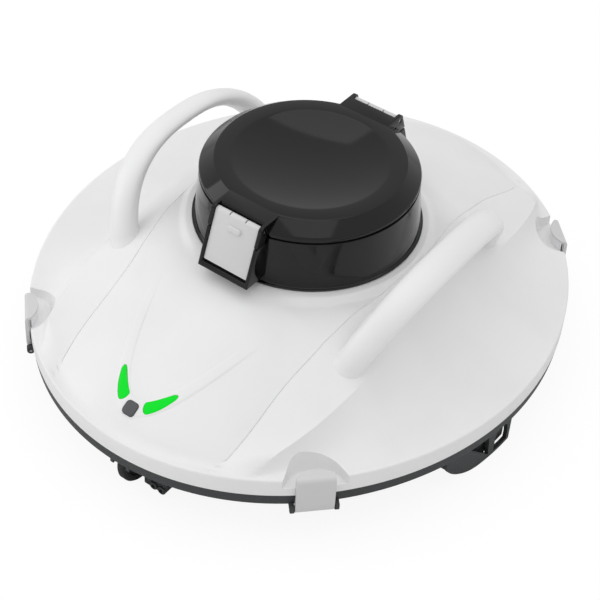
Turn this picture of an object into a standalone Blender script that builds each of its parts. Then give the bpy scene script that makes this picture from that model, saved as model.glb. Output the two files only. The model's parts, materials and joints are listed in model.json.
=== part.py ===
"""Cordless pool cleaner: an oval white shell over a dark base tray, with a round motor box on top.

Metres, +Z up, front towards -Y, floor at z = 0. Angles called phi are measured about Z from the
front axis towards +X, so a point at radius r lies at (r sin phi, -r cos phi).
"""

import math

import bmesh
import bpy
from mathutils import Matrix, Vector

# ---- overall oval and heights ------------------------------------------------------------------
HALF_LENGTH = 0.2122  # rim, centre to front
HALF_WIDTH = 0.1897  # rim, centre to side
OVAL_FULLNESS = 0.0048  # fourth harmonic: how square the oval is
RIM_BOTTOM = 0.0420  # white band starts here, above the dark base
RIM_TOP = 0.0565  # crease between the band and the top skin
SEAM_GAP = 0.0003  # air between pieces that touch
SKIN = 0.0028  # shell wall

# ---- top skin ----------------------------------------------------------------------------------
SPINE_FLAT = 0.085  # the spine is level this far from the centre
SPINE_TOP = 0.1095  # height of the level spine
SPINE_POWER = 1.35
SEAT_HEIGHT = 0.1099  # flat ring the motor box lip rests on
SEAT_RADIUS = 0.0860
SEAT_BLEND = 0.0060
SEAM_MID = 0.0880  # half width of the spine panel at the middle
SEAM_WAIST = 0.0135  # how much it narrows towards the ends
SEAM_DROP_SIDE = 0.0040  # crown of the spine panel beside the motor box
SEAM_DROP_END = 0.0155  # and towards the ends
CREASE_MID = 0.1130  # half width at the flank crease
CREASE_PULL = 0.0090
CREASE_HEIGHT = 0.0860
CREASE_FALL = 0.0140
FLANK_POWER = 1.2
SCOOP_POWER = 3.0
GROOVE_WIDTH = 0.0009
GROOVE_DEPTH = 0.0008

# ---- motor box ---------------------------------------------------------------------------------
BOX_LIP_RADIUS = 0.0848
BOX_FOOT_RADIUS = 0.0802  # wall above the lip's fillet
BOX_TOP_RADIUS = 0.0775
BOX_LIP_HEIGHT = 0.0016
BOX_SPLIT = 0.1503  # seam between housing and cap
BOX_LOWER_RADIUS = 0.0768
BOX_WALL = 0.0030
BOX_FLOOR = 0.0600  # underside of the sealed box
OPENING_CLEARANCE = 0.0006
CAP_SKIRT_TOP = 0.1529
CAP_TOP = 0.1606
CAP_RING_RADIUS = 0.0676
DISH_RADIUS = 0.0557
DISH_DEPTH = 0.0070
CAP_WALL = 0.0026

# ---- latches -----------------------------------------------------------------------------------
LATCH_HALF_WIDTH = 0.0180
LATCH_PIVOT = (-0.0797, 0.1563)  # y, z of the front latch pin
LATCH_BARREL = 0.0028
LATCH_REACH = 0.0350  # pin to the panel's lower edge
LATCH_LEAN = math.radians(19.4)  # panel from vertical
LATCH_THICKNESS = 0.0030
PIN_RADIUS = 0.0012
PIN_CLEARANCE = 0.0003
CHEEK = 0.0027
CHEEK_GAP = 0.0003
SURROUND_TOP = 0.1455  # the housing's frame round the latch ends here
SURROUND_PROUD = 0.0012  # frame beyond the panel's face
EAR_BOTTOM = 0.1468  # the cap's ears end here

# ---- handles -----------------------------------------------------------------------------------
HANDLE_HALF_SPAN = 0.0882
HANDLE_FOOT_Z = 0.0486
HANDLE_RISE = 0.0908
HANDLE_FOOT_X = 0.0833
HANDLE_LEAN = 0.388
HANDLE_POWER = 0.787
HANDLE_FOOT_RADIUS = 0.0103
HANDLE_TOP_HALVES = (0.0115, 0.0054)  # half width and half thickness of the bar at its top
HANDLE_TILT = math.radians(16.2)  # the bar's outer edge lies lower than its inner one

# ---- light and button --------------------------------------------------------------------------
VEE_TIP_Y = -0.1910
VEE_LENGTH = 0.0910
VEE_HALF_SPREAD = 0.0490
VEE_HALF_WIDTH = 0.0055
VEE_RAISE = 0.0006
LENS_START = 0.0080
LENS_END = 0.0228
LENS_HALF_WIDTH = 0.0037
POCKET_CLEARANCE = 0.0003
BUTTON_SIDE = 0.0096
BUTTON_Y = -0.1922
BUTTON_TRAVEL = 0.0010
BUTTON_DEPTH = 0.0034
BUTTON_PROUD = 0.0014

# ---- rim clips ---------------------------------------------------------------------------------
CLIP_ANGLE = math.radians(38.8)
CLIP_HALF_WIDTH = 0.0130
CLIP_PIVOT_OUT = 0.0006
CLIP_PIVOT_Z = 0.0297
CLIP_BARREL = 0.0022
CLIP_PIN_RADIUS = 0.0011
PRONG = 0.0030
NOTCH_FOOT = (0.0190, 0.0140)  # half width and depth of the notch at its floor
NOTCH_MOUTH = (0.0205, 0.0285)  # and where it opens in the skin
NOTCH_FLARE = 0.0030  # the mouth widens by this at the rim
NOTCH_FLOOR = 0.0490
NOTCH_WAIST = 0.0033  # the flat part of the hollow wall ends this far above the floor
NOTCH_SHOULDER = 0.0600  # the wall turns upright here
NOTCH_TOP = 0.1000  # above the skin
NOTCH_WALL = 0.0024
CLIP_SEAT_TOP = 0.0570  # block on the floor that a clip hooks over
CLIP_SEAT_HALF = 0.0120
CLIP_SEAT_DEPTH = 0.0058

# ---- base tray ---------------------------------------------------------------------------------
BASE_INSET = 0.0009
BASE_EDGE_BOTTOM = 0.0322
BELLY = 0.0160
BELLY_INSET = 0.0600
BASE_WALL = 0.0026
TONGUE_INSET = 0.0040
TONGUE_TOP = 0.0462
TONGUE_WALL = 0.0020

# ---- suction inlets and filter -----------------------------------------------------------------
INLET_Y = 0.1000
INLET_HALF_X = 0.0400
INLET_HALF_Y = 0.0100
INLET_WALL = 0.0020
INLET_MOUTH = 0.0070
INLET_TOP = 0.0215
FLAP_THICKNESS = 0.0020
FLAP_PIN_RADIUS = 0.0012
FLAP_BARREL = 0.0024
FILTER_INSET = 0.0650
FILTER_WALL = 0.0022
FILTER_TOP = 0.0440
SCREEN_THICKNESS = 0.0014
SCREEN_INNER = 0.0350
SCREEN_RINGS = 2
SCREEN_SECTORS = 6

# ---- wheels ------------------------------------------------------------------------------------
END_WHEEL_RADIUS = 0.0225
END_WHEEL_WIDTH = 0.0070
END_WHEEL_X = 0.0030
END_WHEEL_Y = 0.1860
SIDE_WHEEL_RADIUS = 0.0220
SIDE_WHEEL_WIDTH = 0.0100
SIDE_WHEEL_X = 0.1665
SIDE_WHEEL_Y = -0.0300
WELL_CLEARANCE = 0.0020
WELL_WALL = 0.0026
AXLE_RADIUS = 0.0022
BORE_CLEARANCE = 0.0003
GUARD_INSET = 0.0052
GUARD_WALL = 0.0030
GUARD_FRONT = -0.0700
GUARD_CORNER = -0.0350
GUARD_REAR = -0.0010
GUARD_TOP = 0.0284
GUARD_BOTTOM = 0.0015
BRACKET_TOP = 0.0195
BRACKET_BOTTOM = 0.0030
BRACKET_OUTER = 0.0315
BRACKET_CORNER = 0.0100
BRACKET_BOSSES = (0.0205, 0.0275)

# ---- inside the motor box ----------------------------------------------------------------------
CELL_RADIUS = 0.0092
CELL_LENGTH = 0.0650
CELL_CIRCLE = 0.0520
CELL_COUNT = 6
MOTOR_RADIUS = 0.0185
MOTOR_HEIGHT = 0.0480
SHAFT_RADIUS = 0.0020
SHAFT_BOTTOM = 0.0505
IMPELLER_RADIUS = 0.0220
IMPELLER_BLADES = 6
GUARD_CUP_RADIUS = 0.0290
GUARD_CUP_BOTTOM = 0.0470
SOCKET_HEIGHT = 0.1330
SOCKET_RADIUS = 0.0069
SOCKET_CAP_RADIUS = 0.0090

OVAL_STEPS = 44
DRUM_STEPS = 32
ROUND_STEPS = 18
SMALL_STEPS = 10
WHEEL_STEPS = 18
STRIP_STEPS = 8
NOTCH_STEPS = 7
SOCKET_STEPS = 16
PIN_STEPS = 10
ARCH_STEPS = 14
ARCH_SIDES = 10
FILTER_STEPS = 22

WHITE = ("white_plastic", (0.83, 0.84, 0.85), 0.35, 0.0)
BLACK = ("black_gloss_plastic", (0.012, 0.012, 0.013), 0.12, 0.0)
DARK = ("dark_plastic", (0.075, 0.077, 0.08), 0.5, 0.0)
RUBBER = ("black_rubber", (0.02, 0.02, 0.02), 0.8, 0.0)
STEEL = ("steel", (0.6, 0.6, 0.6), 0.3, 1.0)
GREEN = ("green_lens", (0.0, 0.8, 0.02), 0.2, 0.0)
BOARD = ("circuit_board", (0.02, 0.16, 0.06), 0.5, 0.0)
CELL = ("cell_wrap", (0.05, 0.16, 0.42), 0.45, 0.0)
MESH = ("filter_mesh", (0.55, 0.57, 0.6), 0.6, 0.0)


# ---- helpers -----------------------------------------------------------------------------------
def clear_scene():
    for obj in list(bpy.data.objects):
        bpy.data.objects.remove(obj, do_unlink=True)


def material(finish):
    name, colour, roughness, metallic = finish
    found = bpy.data.materials.get(name)
    if found:
        return found
    made = bpy.data.materials.new(name)
    made.use_nodes = True
    shader = made.node_tree.nodes["Principled BSDF"]
    shader.inputs["Base Color"].default_value = (*colour, 1.0)
    shader.inputs["Roughness"].default_value = roughness
    shader.inputs["Metallic"].default_value = metallic
    return made


def finish_object(name, bm, finish, origin=(0.0, 0.0, 0.0), smooth_angle=35.0):
    """Make an object whose geometry stays where it was modelled and whose origin is at origin."""
    bmesh.ops.remove_doubles(bm, verts=bm.verts, dist=1e-7)
    bmesh.ops.recalc_face_normals(bm, faces=bm.faces)
    if bm.calc_volume(signed=True) < 0:
        bmesh.ops.reverse_faces(bm, faces=bm.faces)
    bmesh.ops.translate(bm, verts=bm.verts, vec=-Vector(origin))
    mesh = bpy.data.meshes.new(name)
    bm.to_mesh(mesh)
    bm.free()
    mesh.shade_smooth()
    mesh.set_sharp_from_angle(angle=math.radians(smooth_angle))
    mesh.materials.append(material(finish))
    obj = bpy.data.objects.new(name, mesh)
    obj.location = origin
    bpy.context.scene.collection.objects.link(obj)
    return obj


def hide_cutter(obj):
    obj.hide_render = True
    obj.display_type = "WIRE"
    return obj


def combine(target, tool, operation, solver="EXACT"):
    """Cut target with tool, or join tool to it; the tool stays in the file as a wire guide."""
    hide_cutter(tool)
    step = target.modifiers.new(f"{operation.lower()}_{tool.name}", "BOOLEAN")
    step.operation = operation
    step.solver = solver
    step.object = tool
    return target


def cut(target, *tools):
    for tool in tools:
        combine(target, tool, "DIFFERENCE")
    return target


def join(target, *tools):
    for tool in tools:
        combine(target, tool, "UNION")
    return target


def loft(bm, rings, close_ends=True, wrap=False, triangles=False):
    """Skin a list of equal, closed point rings; wrap joins the last ring to the first."""
    rows = [[bm.verts.new(point) for point in ring] for ring in rings]
    pairs = list(zip(rows, rows[1:]))
    if wrap:
        pairs.append((rows[-1], rows[0]))
    for low, high in pairs:
        count = len(low)
        for i in range(count):
            j = (i + 1) % count
            if triangles:
                bm.faces.new((low[i], low[j], high[j]))
                bm.faces.new((low[i], high[j], high[i]))
            else:
                bm.faces.new((low[i], low[j], high[j], high[i]))
    if close_ends and not wrap:
        bm.faces.new(rows[0])
        bm.faces.new(rows[-1])
    return rows


def prism(name, outline, axis_vectors, start, end, finish=DARK, origin=(0.0, 0.0, 0.0)):
    """Extrude a flat outline: axis_vectors are the outline's two directions and the push."""
    across, up, push = (Vector(v) for v in axis_vectors)
    bm = bmesh.new()
    near = [across * a + up * b + push * start for a, b in outline]
    far = [across * a + up * b + push * end for a, b in outline]
    loft(bm, [near, far])
    return finish_object(name, bm, finish, origin)


def side_prism(name, outline, x_start, x_end, finish=DARK, origin=(0.0, 0.0, 0.0)):
    """An outline in (y, z), pushed along X."""
    return prism(name, outline, ((0, 1, 0), (0, 0, 1), (1, 0, 0)), x_start, x_end, finish, origin)


def plan_prism(name, outline, z_start, z_end, finish=DARK, origin=(0.0, 0.0, 0.0)):
    """An outline in (x, y), pushed along Z."""
    return prism(name, outline, ((1, 0, 0), (0, 1, 0), (0, 0, 1)), z_start, z_end, finish, origin)


def box(name, low, high, finish=DARK):
    outline = [(low[0], low[1]), (high[0], low[1]), (high[0], high[1]), (low[0], high[1])]
    return plan_prism(name, outline, low[2], high[2], finish)


def arc(centre, radius, start, end, steps):
    """Points of a circular arc in degrees, both ends included."""
    points = []
    for i in range(steps + 1):
        angle = math.radians(start + (end - start) * i / steps)
        points.append((centre[0] + radius * math.cos(angle), centre[1] + radius * math.sin(angle)))
    return points


def rounded_rectangle(half_x, half_y, radius, centre=(0.0, 0.0), steps=4):
    points = []
    for sx, sy, start in ((1, 1, 0), (-1, 1, 90), (-1, -1, 180), (1, -1, 270)):
        corner = (centre[0] + sx * (half_x - radius), centre[1] + sy * (half_y - radius))
        points += arc(corner, radius, start, start + 90, steps)
    return points


def turn(name, profile, finish, steps=ROUND_STEPS, axis_frame=None, origin=(0.0, 0.0, 0.0)):
    """Spin a closed (radius, height) profile about Z, or about another frame's Z."""
    bm = bmesh.new()
    verts = [bm.verts.new((radius, 0.0, height)) for radius, height in profile]
    on_axis = profile[0][0] == 0.0 and profile[-1][0] == 0.0
    edges = [bm.edges.new(pair) for pair in zip(verts, verts[1:])]
    if not on_axis:
        edges.append(bm.edges.new((verts[-1], verts[0])))
    bmesh.ops.spin(
        bm,
        geom=verts + edges,
        cent=(0, 0, 0),
        axis=(0, 0, 1),
        angle=2 * math.pi,
        steps=steps,
        use_merge=True,
    )
    bmesh.ops.remove_doubles(bm, verts=bm.verts, dist=1e-6)
    if axis_frame is not None:
        bmesh.ops.transform(bm, matrix=axis_frame, verts=bm.verts)
    return finish_object(name, bm, finish, origin)


def frame_along(direction, centre):
    """A matrix whose Z runs along direction, standing at centre."""
    turned = Vector(direction).to_track_quat("Z", "Y").to_matrix().to_4x4()
    return Matrix.Translation(centre) @ turned


def rod(name, start, end, radius, finish=STEEL, steps=SMALL_STEPS, bore=0.0):
    """A round bar, or a sleeve if it has a bore, from start to end."""
    start, end = Vector(start), Vector(end)
    length = (end - start).length
    if bore:
        profile = [(radius, 0), (radius, length), (bore, length), (bore, 0)]
    else:
        profile = [(0, 0), (radius, 0), (radius, length), (0, length)]
    return turn(name, profile, finish, steps, frame_along(end - start, start))


# ---- the oval and the top skin -----------------------------------------------------------------
def rim_radius(phi):
    mean = (HALF_LENGTH + HALF_WIDTH) / 2 / (1 + OVAL_FULLNESS)
    oval = (HALF_LENGTH - HALF_WIDTH) / 2 / mean
    return mean * (1 + oval * math.cos(2 * phi) + OVAL_FULLNESS * math.cos(4 * phi))


def polar(phi, radius, z=0.0):
    return Vector((radius * math.sin(phi), -radius * math.cos(phi), z))


def oval_ring(inset, z, steps=OVAL_STEPS):
    return [
        polar(math.tau * i / steps, rim_radius(math.tau * i / steps) - inset, z)
        for i in range(steps)
    ]


def ease(low, high, value):
    t = min(max((value - low) / (high - low), 0.0), 1.0)
    return t * t * (3 - 2 * t)


def spine_height(y):
    t = min(max((abs(y) - SPINE_FLAT) / (HALF_LENGTH - SPINE_FLAT), 0.0), 1.0)
    return RIM_TOP + (SPINE_TOP - RIM_TOP) * (1 - t**SPINE_POWER)


def seam_x(y):
    """Half width of the spine panel: a waist, then a pull-in close to the ends."""
    pull = max(abs(y) / HALF_LENGTH - 0.7, 0.0) * 0.8
    return SEAM_MID - SEAM_WAIST * ease(0.0, 0.66 * HALF_LENGTH, abs(y)) - 0.19 * pull**2


def seam_drop(y):
    near, far = 0.24 * HALF_LENGTH, 0.5 * HALF_LENGTH
    return SEAM_DROP_SIDE + (SEAM_DROP_END - SEAM_DROP_SIDE) * ease(near, far, abs(y))


def crease_x(y):
    return CREASE_MID - CREASE_PULL * (abs(y) / (0.707 * HALF_LENGTH)) ** 4.5


def crease_height(y):
    return CREASE_HEIGHT - CREASE_FALL * (y / (0.707 * HALF_LENGTH)) ** 2


def crossing(phi, line):
    """Radius at which the ray at phi meets the line x = line(y), or the rim if it never does."""
    low, high = 0.03, rim_radius(phi) * 1.02
    if abs(high * math.sin(phi)) < line(high * math.cos(phi)):
        return high
    for _ in range(28):
        middle = (low + high) / 2
        if abs(middle * math.sin(phi)) < line(middle * math.cos(phi)):
            low = middle
        else:
            high = middle
    return (low + high) / 2


def panel_height(x, y):
    """The crowned spine panel and the flank outside its seam."""
    edge = seam_x(y)
    seam_z = spine_height(y) - seam_drop(y)
    if abs(x) <= edge:
        return spine_height(y) - seam_drop(y) * (x / edge) ** 2
    share = (abs(x) - edge) / (crease_x(y) - edge)
    return seam_z - (seam_z - crease_height(y)) * share**FLANK_POWER


def skin_height(x, y):
    """Height of the top skin's outer face."""
    radius = math.hypot(x, y)
    phi = math.atan2(x, -y)
    rim = rim_radius(phi)
    edge = crossing(phi, crease_x)
    if radius < edge:
        z = panel_height(x, y)
    else:
        corner = polar(phi, edge)
        share = min((radius - edge) / max(rim - edge, 1e-6), 1.0)
        z = RIM_TOP + (panel_height(corner.x, corner.y) - RIM_TOP) * (1 - share) ** SCOOP_POWER
    z = RIM_TOP + (z - RIM_TOP) * (1 - ease(0.93, 1.0, radius / rim))
    level = 1 - ease(SEAT_RADIUS, SEAT_RADIUS + SEAT_BLEND, radius)
    return z + (SEAT_HEIGHT - z) * level


def skin_normal(x, y, step=0.001):
    dx = skin_height(x + step, y) - skin_height(x - step, y)
    dy = skin_height(x, y + step) - skin_height(x, y - step)
    return Vector((-dx, -dy, 2 * step)).normalized()


def skin_stations(phi):
    """Radii of the skin's rings on one ray, with rings on the seam and on the crease."""
    rim = rim_radius(phi)
    seam = min(max(crossing(phi, seam_x), SEAT_RADIUS + 0.0032), 0.945 * rim)
    crease = min(max(crossing(phi, crease_x), seam + 0.004), 0.972 * rim)
    radii = [BOX_LOWER_RADIUS + OPENING_CLEARANCE, SEAT_RADIUS]
    radii += [SEAT_RADIUS + (seam - SEAT_RADIUS) * t for t in (0.3, 0.65, 0.88, 1)]
    radii += [seam + (crease - seam) * t for t in (0.5, 1)]
    radii += [crease + (rim - 0.0012 - crease) * t for t in (0.16, 0.42, 0.75, 1)]
    return radii


def strip(name, path, half_width, raise_by, sink_by, finish=WHITE):
    """A band that follows the skin: path(t) is its middle in plan, half_width(t) its half width."""
    rings = []
    for i in range(STRIP_STEPS + 1):
        t = i / STRIP_STEPS
        here = Vector(path(t))
        ahead = Vector(path(min(t + 0.01, 1.0))) - Vector(path(max(t - 0.01, 0.0)))
        across = Vector((-ahead.y, ahead.x)).normalized() * half_width(t)
        ring = []
        for side, lift in ((1, raise_by), (-1, raise_by), (-1, -sink_by), (1, -sink_by)):
            point = here + across * side
            ring.append((point.x, point.y, skin_height(point.x, point.y) + lift))
        rings.append(ring)
    bm = bmesh.new()
    loft(bm, rings)
    return finish_object(name, bm, finish)


def skin_patch(name, low, high, lift, bottom, cells=8):
    """A block under the skin: its top follows the skin at lift, its bottom is level."""
    bm = bmesh.new()
    grid = []
    for i in range(cells + 1):
        row = []
        for j in range(cells + 1):
            x = low[0] + (high[0] - low[0]) * i / cells
            y = low[1] + (high[1] - low[1]) * j / cells
            row.append((x, y, skin_height(x, y) + lift))
        grid.append(row)
    tops = [[bm.verts.new(point) for point in row] for row in grid]
    floor = [[bm.verts.new((x, y, bottom(z))) for x, y, z in row] for row in grid]
    for rows in (tops, floor):
        for i in range(cells):
            for j in range(cells):
                bm.faces.new((rows[i][j], rows[i + 1][j], rows[i + 1][j + 1], rows[i][j + 1]))
    border = [(i, 0) for i in range(cells)] + [(cells, j) for j in range(cells)]
    border += [(i, cells) for i in range(cells, 0, -1)] + [(0, j) for j in range(cells, 0, -1)]
    for (i, j), (k, m) in zip(border, border[1:] + border[:1]):
        bm.faces.new((tops[i][j], tops[k][m], floor[k][m], floor[i][j]))
    return finish_object(name, bm, BOARD)


# ---- top shell ---------------------------------------------------------------------------------
def vee_point(x):
    """Plan position on the V: a parabola whose tip is at the front."""
    return (x, VEE_TIP_Y + VEE_LENGTH * (x / VEE_HALF_SPREAD) ** 2)


def vee_band():
    def path(t):
        return vee_point(VEE_HALF_SPREAD * (2 * t - 1))

    def width(t):
        return VEE_HALF_WIDTH * (1 - 0.45 * abs(2 * t - 1))

    return strip("vee_band", path, width, VEE_RAISE, SKIN * 0.6)


def lens_strip(name, side, grow, raise_by, sink_by, finish):
    def path(t):
        x = LENS_START - grow + (LENS_END - LENS_START + 2 * grow) * t
        return vee_point(side * x)

    def width(t):
        return LENS_HALF_WIDTH * (1 - 0.72 * max(t, 0.0) ** 2.2) + grow

    return strip(name, path, width, raise_by, sink_by, finish)


def button_frame():
    """Frame of the button: Z along the skin's normal at the V's tip."""
    centre = Vector((0.0, BUTTON_Y, skin_height(0.0, BUTTON_Y)))
    return frame_along(skin_normal(0.0, BUTTON_Y), centre)


def button_block(name, grow, top, bottom, finish):
    outline = rounded_rectangle(BUTTON_SIDE / 2 + grow, BUTTON_SIDE / 2 + grow, 0.0018 + grow)
    bm = bmesh.new()
    loft(bm, [[(x, y, bottom) for x, y in outline], [(x, y, top) for x, y in outline]])
    bmesh.ops.transform(bm, matrix=button_frame(), verts=bm.verts)
    return finish_object(name, bm, finish, button_frame().translation)


def notch_arch(grow, z):
    """Arch of the notch in plan at height z, narrow at the floor: (across, inward) pairs."""
    rise = (z - NOTCH_FLOOR) / (NOTCH_SHOULDER - NOTCH_FLOOR)
    share = min(max(rise, 0.0), 1.0) ** 0.58
    half = NOTCH_FOOT[0] + (NOTCH_MOUTH[0] - NOTCH_FOOT[0]) * share + grow
    depth = NOTCH_FOOT[1] + (NOTCH_MOUTH[1] - NOTCH_FOOT[1]) * share + grow
    points = [(half + NOTCH_FLARE, 0.0)]
    for i in range(NOTCH_STEPS + 1):
        angle = math.pi * (i + 0.5) / (NOTCH_STEPS + 1)
        across = math.copysign(abs(math.cos(angle)) ** 0.9, math.cos(angle))
        points.append((half * across, depth * math.sin(angle) ** 0.9))
    return points + [(-half - NOTCH_FLARE, 0.0)]


def clip_frame(index):
    """Frame of a clip: X out of the rim, Y along it, Z up, standing on the rim."""
    phi = (CLIP_ANGLE, math.pi - CLIP_ANGLE, math.pi + CLIP_ANGLE, math.tau - CLIP_ANGLE)[index]
    step = 0.02
    along = polar(phi + step, rim_radius(phi + step)) - polar(phi - step, rim_radius(phi - step))
    along.normalize()
    outward = along.cross(Vector((0, 0, 1)))
    turned = Matrix((outward, along, Vector((0, 0, 1)))).transposed().to_4x4()
    return Matrix.Translation(polar(phi, rim_radius(phi))) @ turned


def behind_rim(frame, inward, across):
    """Point in plan: across along the tangent of the rim at a clip, then inward from the rim."""
    spot = frame @ Vector((0.0, across, 0.0))
    beyond = math.hypot(spot.x, spot.y) - rim_radius(math.atan2(spot.x, -spot.y))
    return frame @ Vector((-inward - beyond, across, 0.0))


def notch_liner(index):
    """Wall and floor of a clip notch, a little thick inside so that the cut trims them."""
    frame = clip_frame(index)
    spare = 0.0008
    waist = NOTCH_FLOOR + NOTCH_WAIST

    def ring(grow, height, lift=0.0):
        points = []
        edge = SKIN * (0.5 if grow > 0 else 1.2)
        for i, (across, inward) in enumerate(notch_arch(grow, height)):
            point = behind_rim(frame, max(inward, edge), across)
            z = min(height, skin_height(point.x, point.y) - 0.2 * SKIN)
            across, inward = notch_arch(grow, z)[i]
            point = behind_rim(frame, max(inward, edge), across)
            points.append((point.x, point.y, z + lift))
        return points

    rings = [ring(NOTCH_WALL, NOTCH_FLOOR, -NOTCH_WALL), ring(NOTCH_WALL, waist, -spare)]
    rings += [ring(NOTCH_WALL, NOTCH_SHOULDER, -spare), ring(NOTCH_WALL, NOTCH_TOP)]
    rings += [ring(-spare, NOTCH_TOP), ring(-spare, NOTCH_SHOULDER, -0.4 * spare)]
    rings += [ring(-spare, waist, spare), ring(-spare, NOTCH_FLOOR, spare)]
    bm = bmesh.new()
    loft(bm, rings, triangles=True)
    return finish_object(f"notch_liner_{index}", bm, WHITE)


def notch_cutter(index):
    frame = clip_frame(index)
    bm = bmesh.new()
    rings = []
    for z in (NOTCH_FLOOR, NOTCH_FLOOR + NOTCH_WAIST, NOTCH_SHOULDER, NOTCH_TOP):
        arch = notch_arch(0.0, z)
        arch += [(arch[-1][0], -0.006), (arch[0][0], -0.006)]
        flat = [behind_rim(frame, inward, across) for across, inward in arch]
        rings.append([(point.x, point.y, z) for point in flat])
    loft(bm, rings, triangles=True)
    return finish_object(f"notch_{index}", bm, WHITE)


def clip_seat(index):
    """Half-round block on the notch floor."""
    frame = clip_frame(index)
    outline = []
    for inward, across in clip_crescent(CLIP_SEAT_HALF, CLIP_SEAT_DEPTH, 6):
        point = behind_rim(frame, inward, across)
        outline.append((point.x, point.y))
    return plan_prism(f"clip_seat_{index}", outline, NOTCH_FLOOR - 0.0012, CLIP_SEAT_TOP)


def clip_crescent(half, depth, steps):
    """Arc behind the rim: (inward, across) from one end of a clip to the other."""
    points = []
    for i in range(steps + 1):
        across = half * (2 * i / steps - 1)
        points.append((0.0010 + (depth - 0.0010) * (1 - (across / half) ** 2), across))
    return points


def seam_groove(side):
    def path(t):
        y = (2 * t - 1) * 0.972 * HALF_LENGTH
        return (side * seam_x(y), y)

    return strip(f"seam_{side}", path, lambda t: GROOVE_WIDTH / 2, 0.002, GROOVE_DEPTH)


def skin_rings():
    """Rings of the outer face from the motor box opening to the rim, then down the band."""
    columns = []
    for i in range(OVAL_STEPS):
        phi = math.tau * i / OVAL_STEPS
        column = []
        for radius in skin_stations(phi):
            point = polar(phi, radius)
            column.append(polar(phi, radius, skin_height(point.x, point.y)))
        column[-1].z = RIM_TOP
        column.append(polar(phi, rim_radius(phi), RIM_TOP - 0.0014))
        column.append(polar(phi, rim_radius(phi), RIM_BOTTOM))
        columns.append(column)
    return list(zip(*columns))


def skin_body(name):
    """Everything under the skin, grown by the gap that a piece standing on it keeps."""
    rings = skin_rings()
    lift = Vector((0, 0, 1.4 * SEAM_GAP))
    lifted = [[point + lift for point in ring] for ring in rings]
    lifted.append([Vector((point.x, point.y, RIM_BOTTOM - SKIN)) for point in rings[-1]])
    lifted.append([Vector((point.x, point.y, RIM_BOTTOM - SKIN)) for point in rings[0]])
    bm = bmesh.new()
    loft(bm, lifted, wrap=True, triangles=True)
    return finish_object(name, bm, WHITE)


def top_shell():
    """White skin with its clip notches, V band, seams and the pockets of the light."""
    bm = bmesh.new()
    loft(bm, skin_rings(), close_ends=False, triangles=True)
    shell = finish_object("top_shell", bm, WHITE)
    wall = shell.modifiers.new("wall", "SOLIDIFY")
    wall.thickness = SKIN
    wall.offset = -1
    wall.use_even_offset = True
    for index in range(4):
        combine(shell, notch_liner(index), "UNION", "MANIFOLD")
        combine(shell, notch_cutter(index), "DIFFERENCE", "MANIFOLD")
        join(shell, clip_seat(index))
    join(shell, vee_band())
    for side in (-1, 1):
        cut(shell, seam_groove(side))
        lens_name = f"lens_pocket_{side}"
        cut(shell, lens_strip(lens_name, side, POCKET_CLEARANCE, 0.004, 0.008, GREEN))
    cut(shell, button_block("button_pocket", POCKET_CLEARANCE, 0.006, -0.009, DARK))
    return shell


def board_drop():
    """Skin to light board, straight down: the button's stem and its travel fit between them."""
    return (BUTTON_DEPTH + BUTTON_TRAVEL + 2 * SEAM_GAP) / skin_normal(0.0, BUTTON_Y).z


def light_pieces():
    drop = board_drop()
    for side, name in ((-1, "light_lens_left"), (1, "light_lens_right")):
        lens_strip(name, side, 0.0, VEE_RAISE + SEAM_GAP, drop - 2 * SEAM_GAP, GREEN)
    button_block("power_button", 0.0, BUTTON_PROUD, -BUTTON_DEPTH, DARK)
    skin_patch(
        "light_board",
        (-0.028, -0.2005),
        (0.028, -0.1640),
        -drop,
        lambda z: z - 0.0016,
        cells=6,
    )


# ---- handles -----------------------------------------------------------------------------------
def handle_point(t):
    """Point of the arch and how far along its span it lies: t runs from front foot to rear."""
    angle = math.pi * t
    along = -math.copysign(abs(math.cos(angle)) ** HANDLE_POWER, math.cos(angle))
    rise = abs(math.sin(angle)) ** HANDLE_POWER * HANDLE_RISE
    x = HANDLE_FOOT_X + HANDLE_LEAN * rise
    return Vector((x, HANDLE_HALF_SPAN * along, HANDLE_FOOT_Z + rise)), abs(along)


def handle(name, side):
    """A flattened arch that grows round towards its feet, cut off along the flank."""
    tilted = Vector((math.cos(HANDLE_TILT), 0, -math.sin(HANDLE_TILT)))
    rings = []
    for i in range(ARCH_STEPS + 1):
        t = (i + 0.25) / (ARCH_STEPS + 0.5)
        point, along = handle_point(t)
        roundness = along**2.56
        wide, thick = (
            top + (HANDLE_FOOT_RADIUS - top) * roundness for top in HANDLE_TOP_HALVES
        )
        ahead = handle_point(min(t + 0.004, 1))[0] - handle_point(max(t - 0.004, 0))[0]
        ahead.normalize()
        across = (tilted - ahead * tilted.dot(ahead)).normalized()
        other = ahead.cross(across)
        ring = []
        for k in range(ARCH_SIDES):
            angle = math.tau * k / ARCH_SIDES
            spot = point + across * (wide * math.cos(angle)) + other * (thick * math.sin(angle))
            ring.append((spot.x * side, spot.y, spot.z))
        rings.append(ring)
    bm = bmesh.new()
    loft(bm, rings)
    arch = finish_object(name, bm, WHITE)
    return cut(arch, skin_body(f"{name}_seat"))


# ---- motor box ---------------------------------------------------------------------------------
def latch_outer_edge(z, proud=0.0):
    """y of the latch panel's outer face at height z, moved out by proud."""
    y0, z0 = LATCH_PIVOT
    face = y0 - LATCH_BARREL / math.cos(LATCH_LEAN)
    return face + (z - z0) * math.tan(LATCH_LEAN) - proud


def latch_sweep(drop):
    """Height at which a catch clears the panel's lower edge as it swings, drop below it."""
    return LATCH_PIVOT[1] - LATCH_REACH - drop


def half_turn():
    return Matrix.Rotation(math.pi, 4, "Z")


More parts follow.
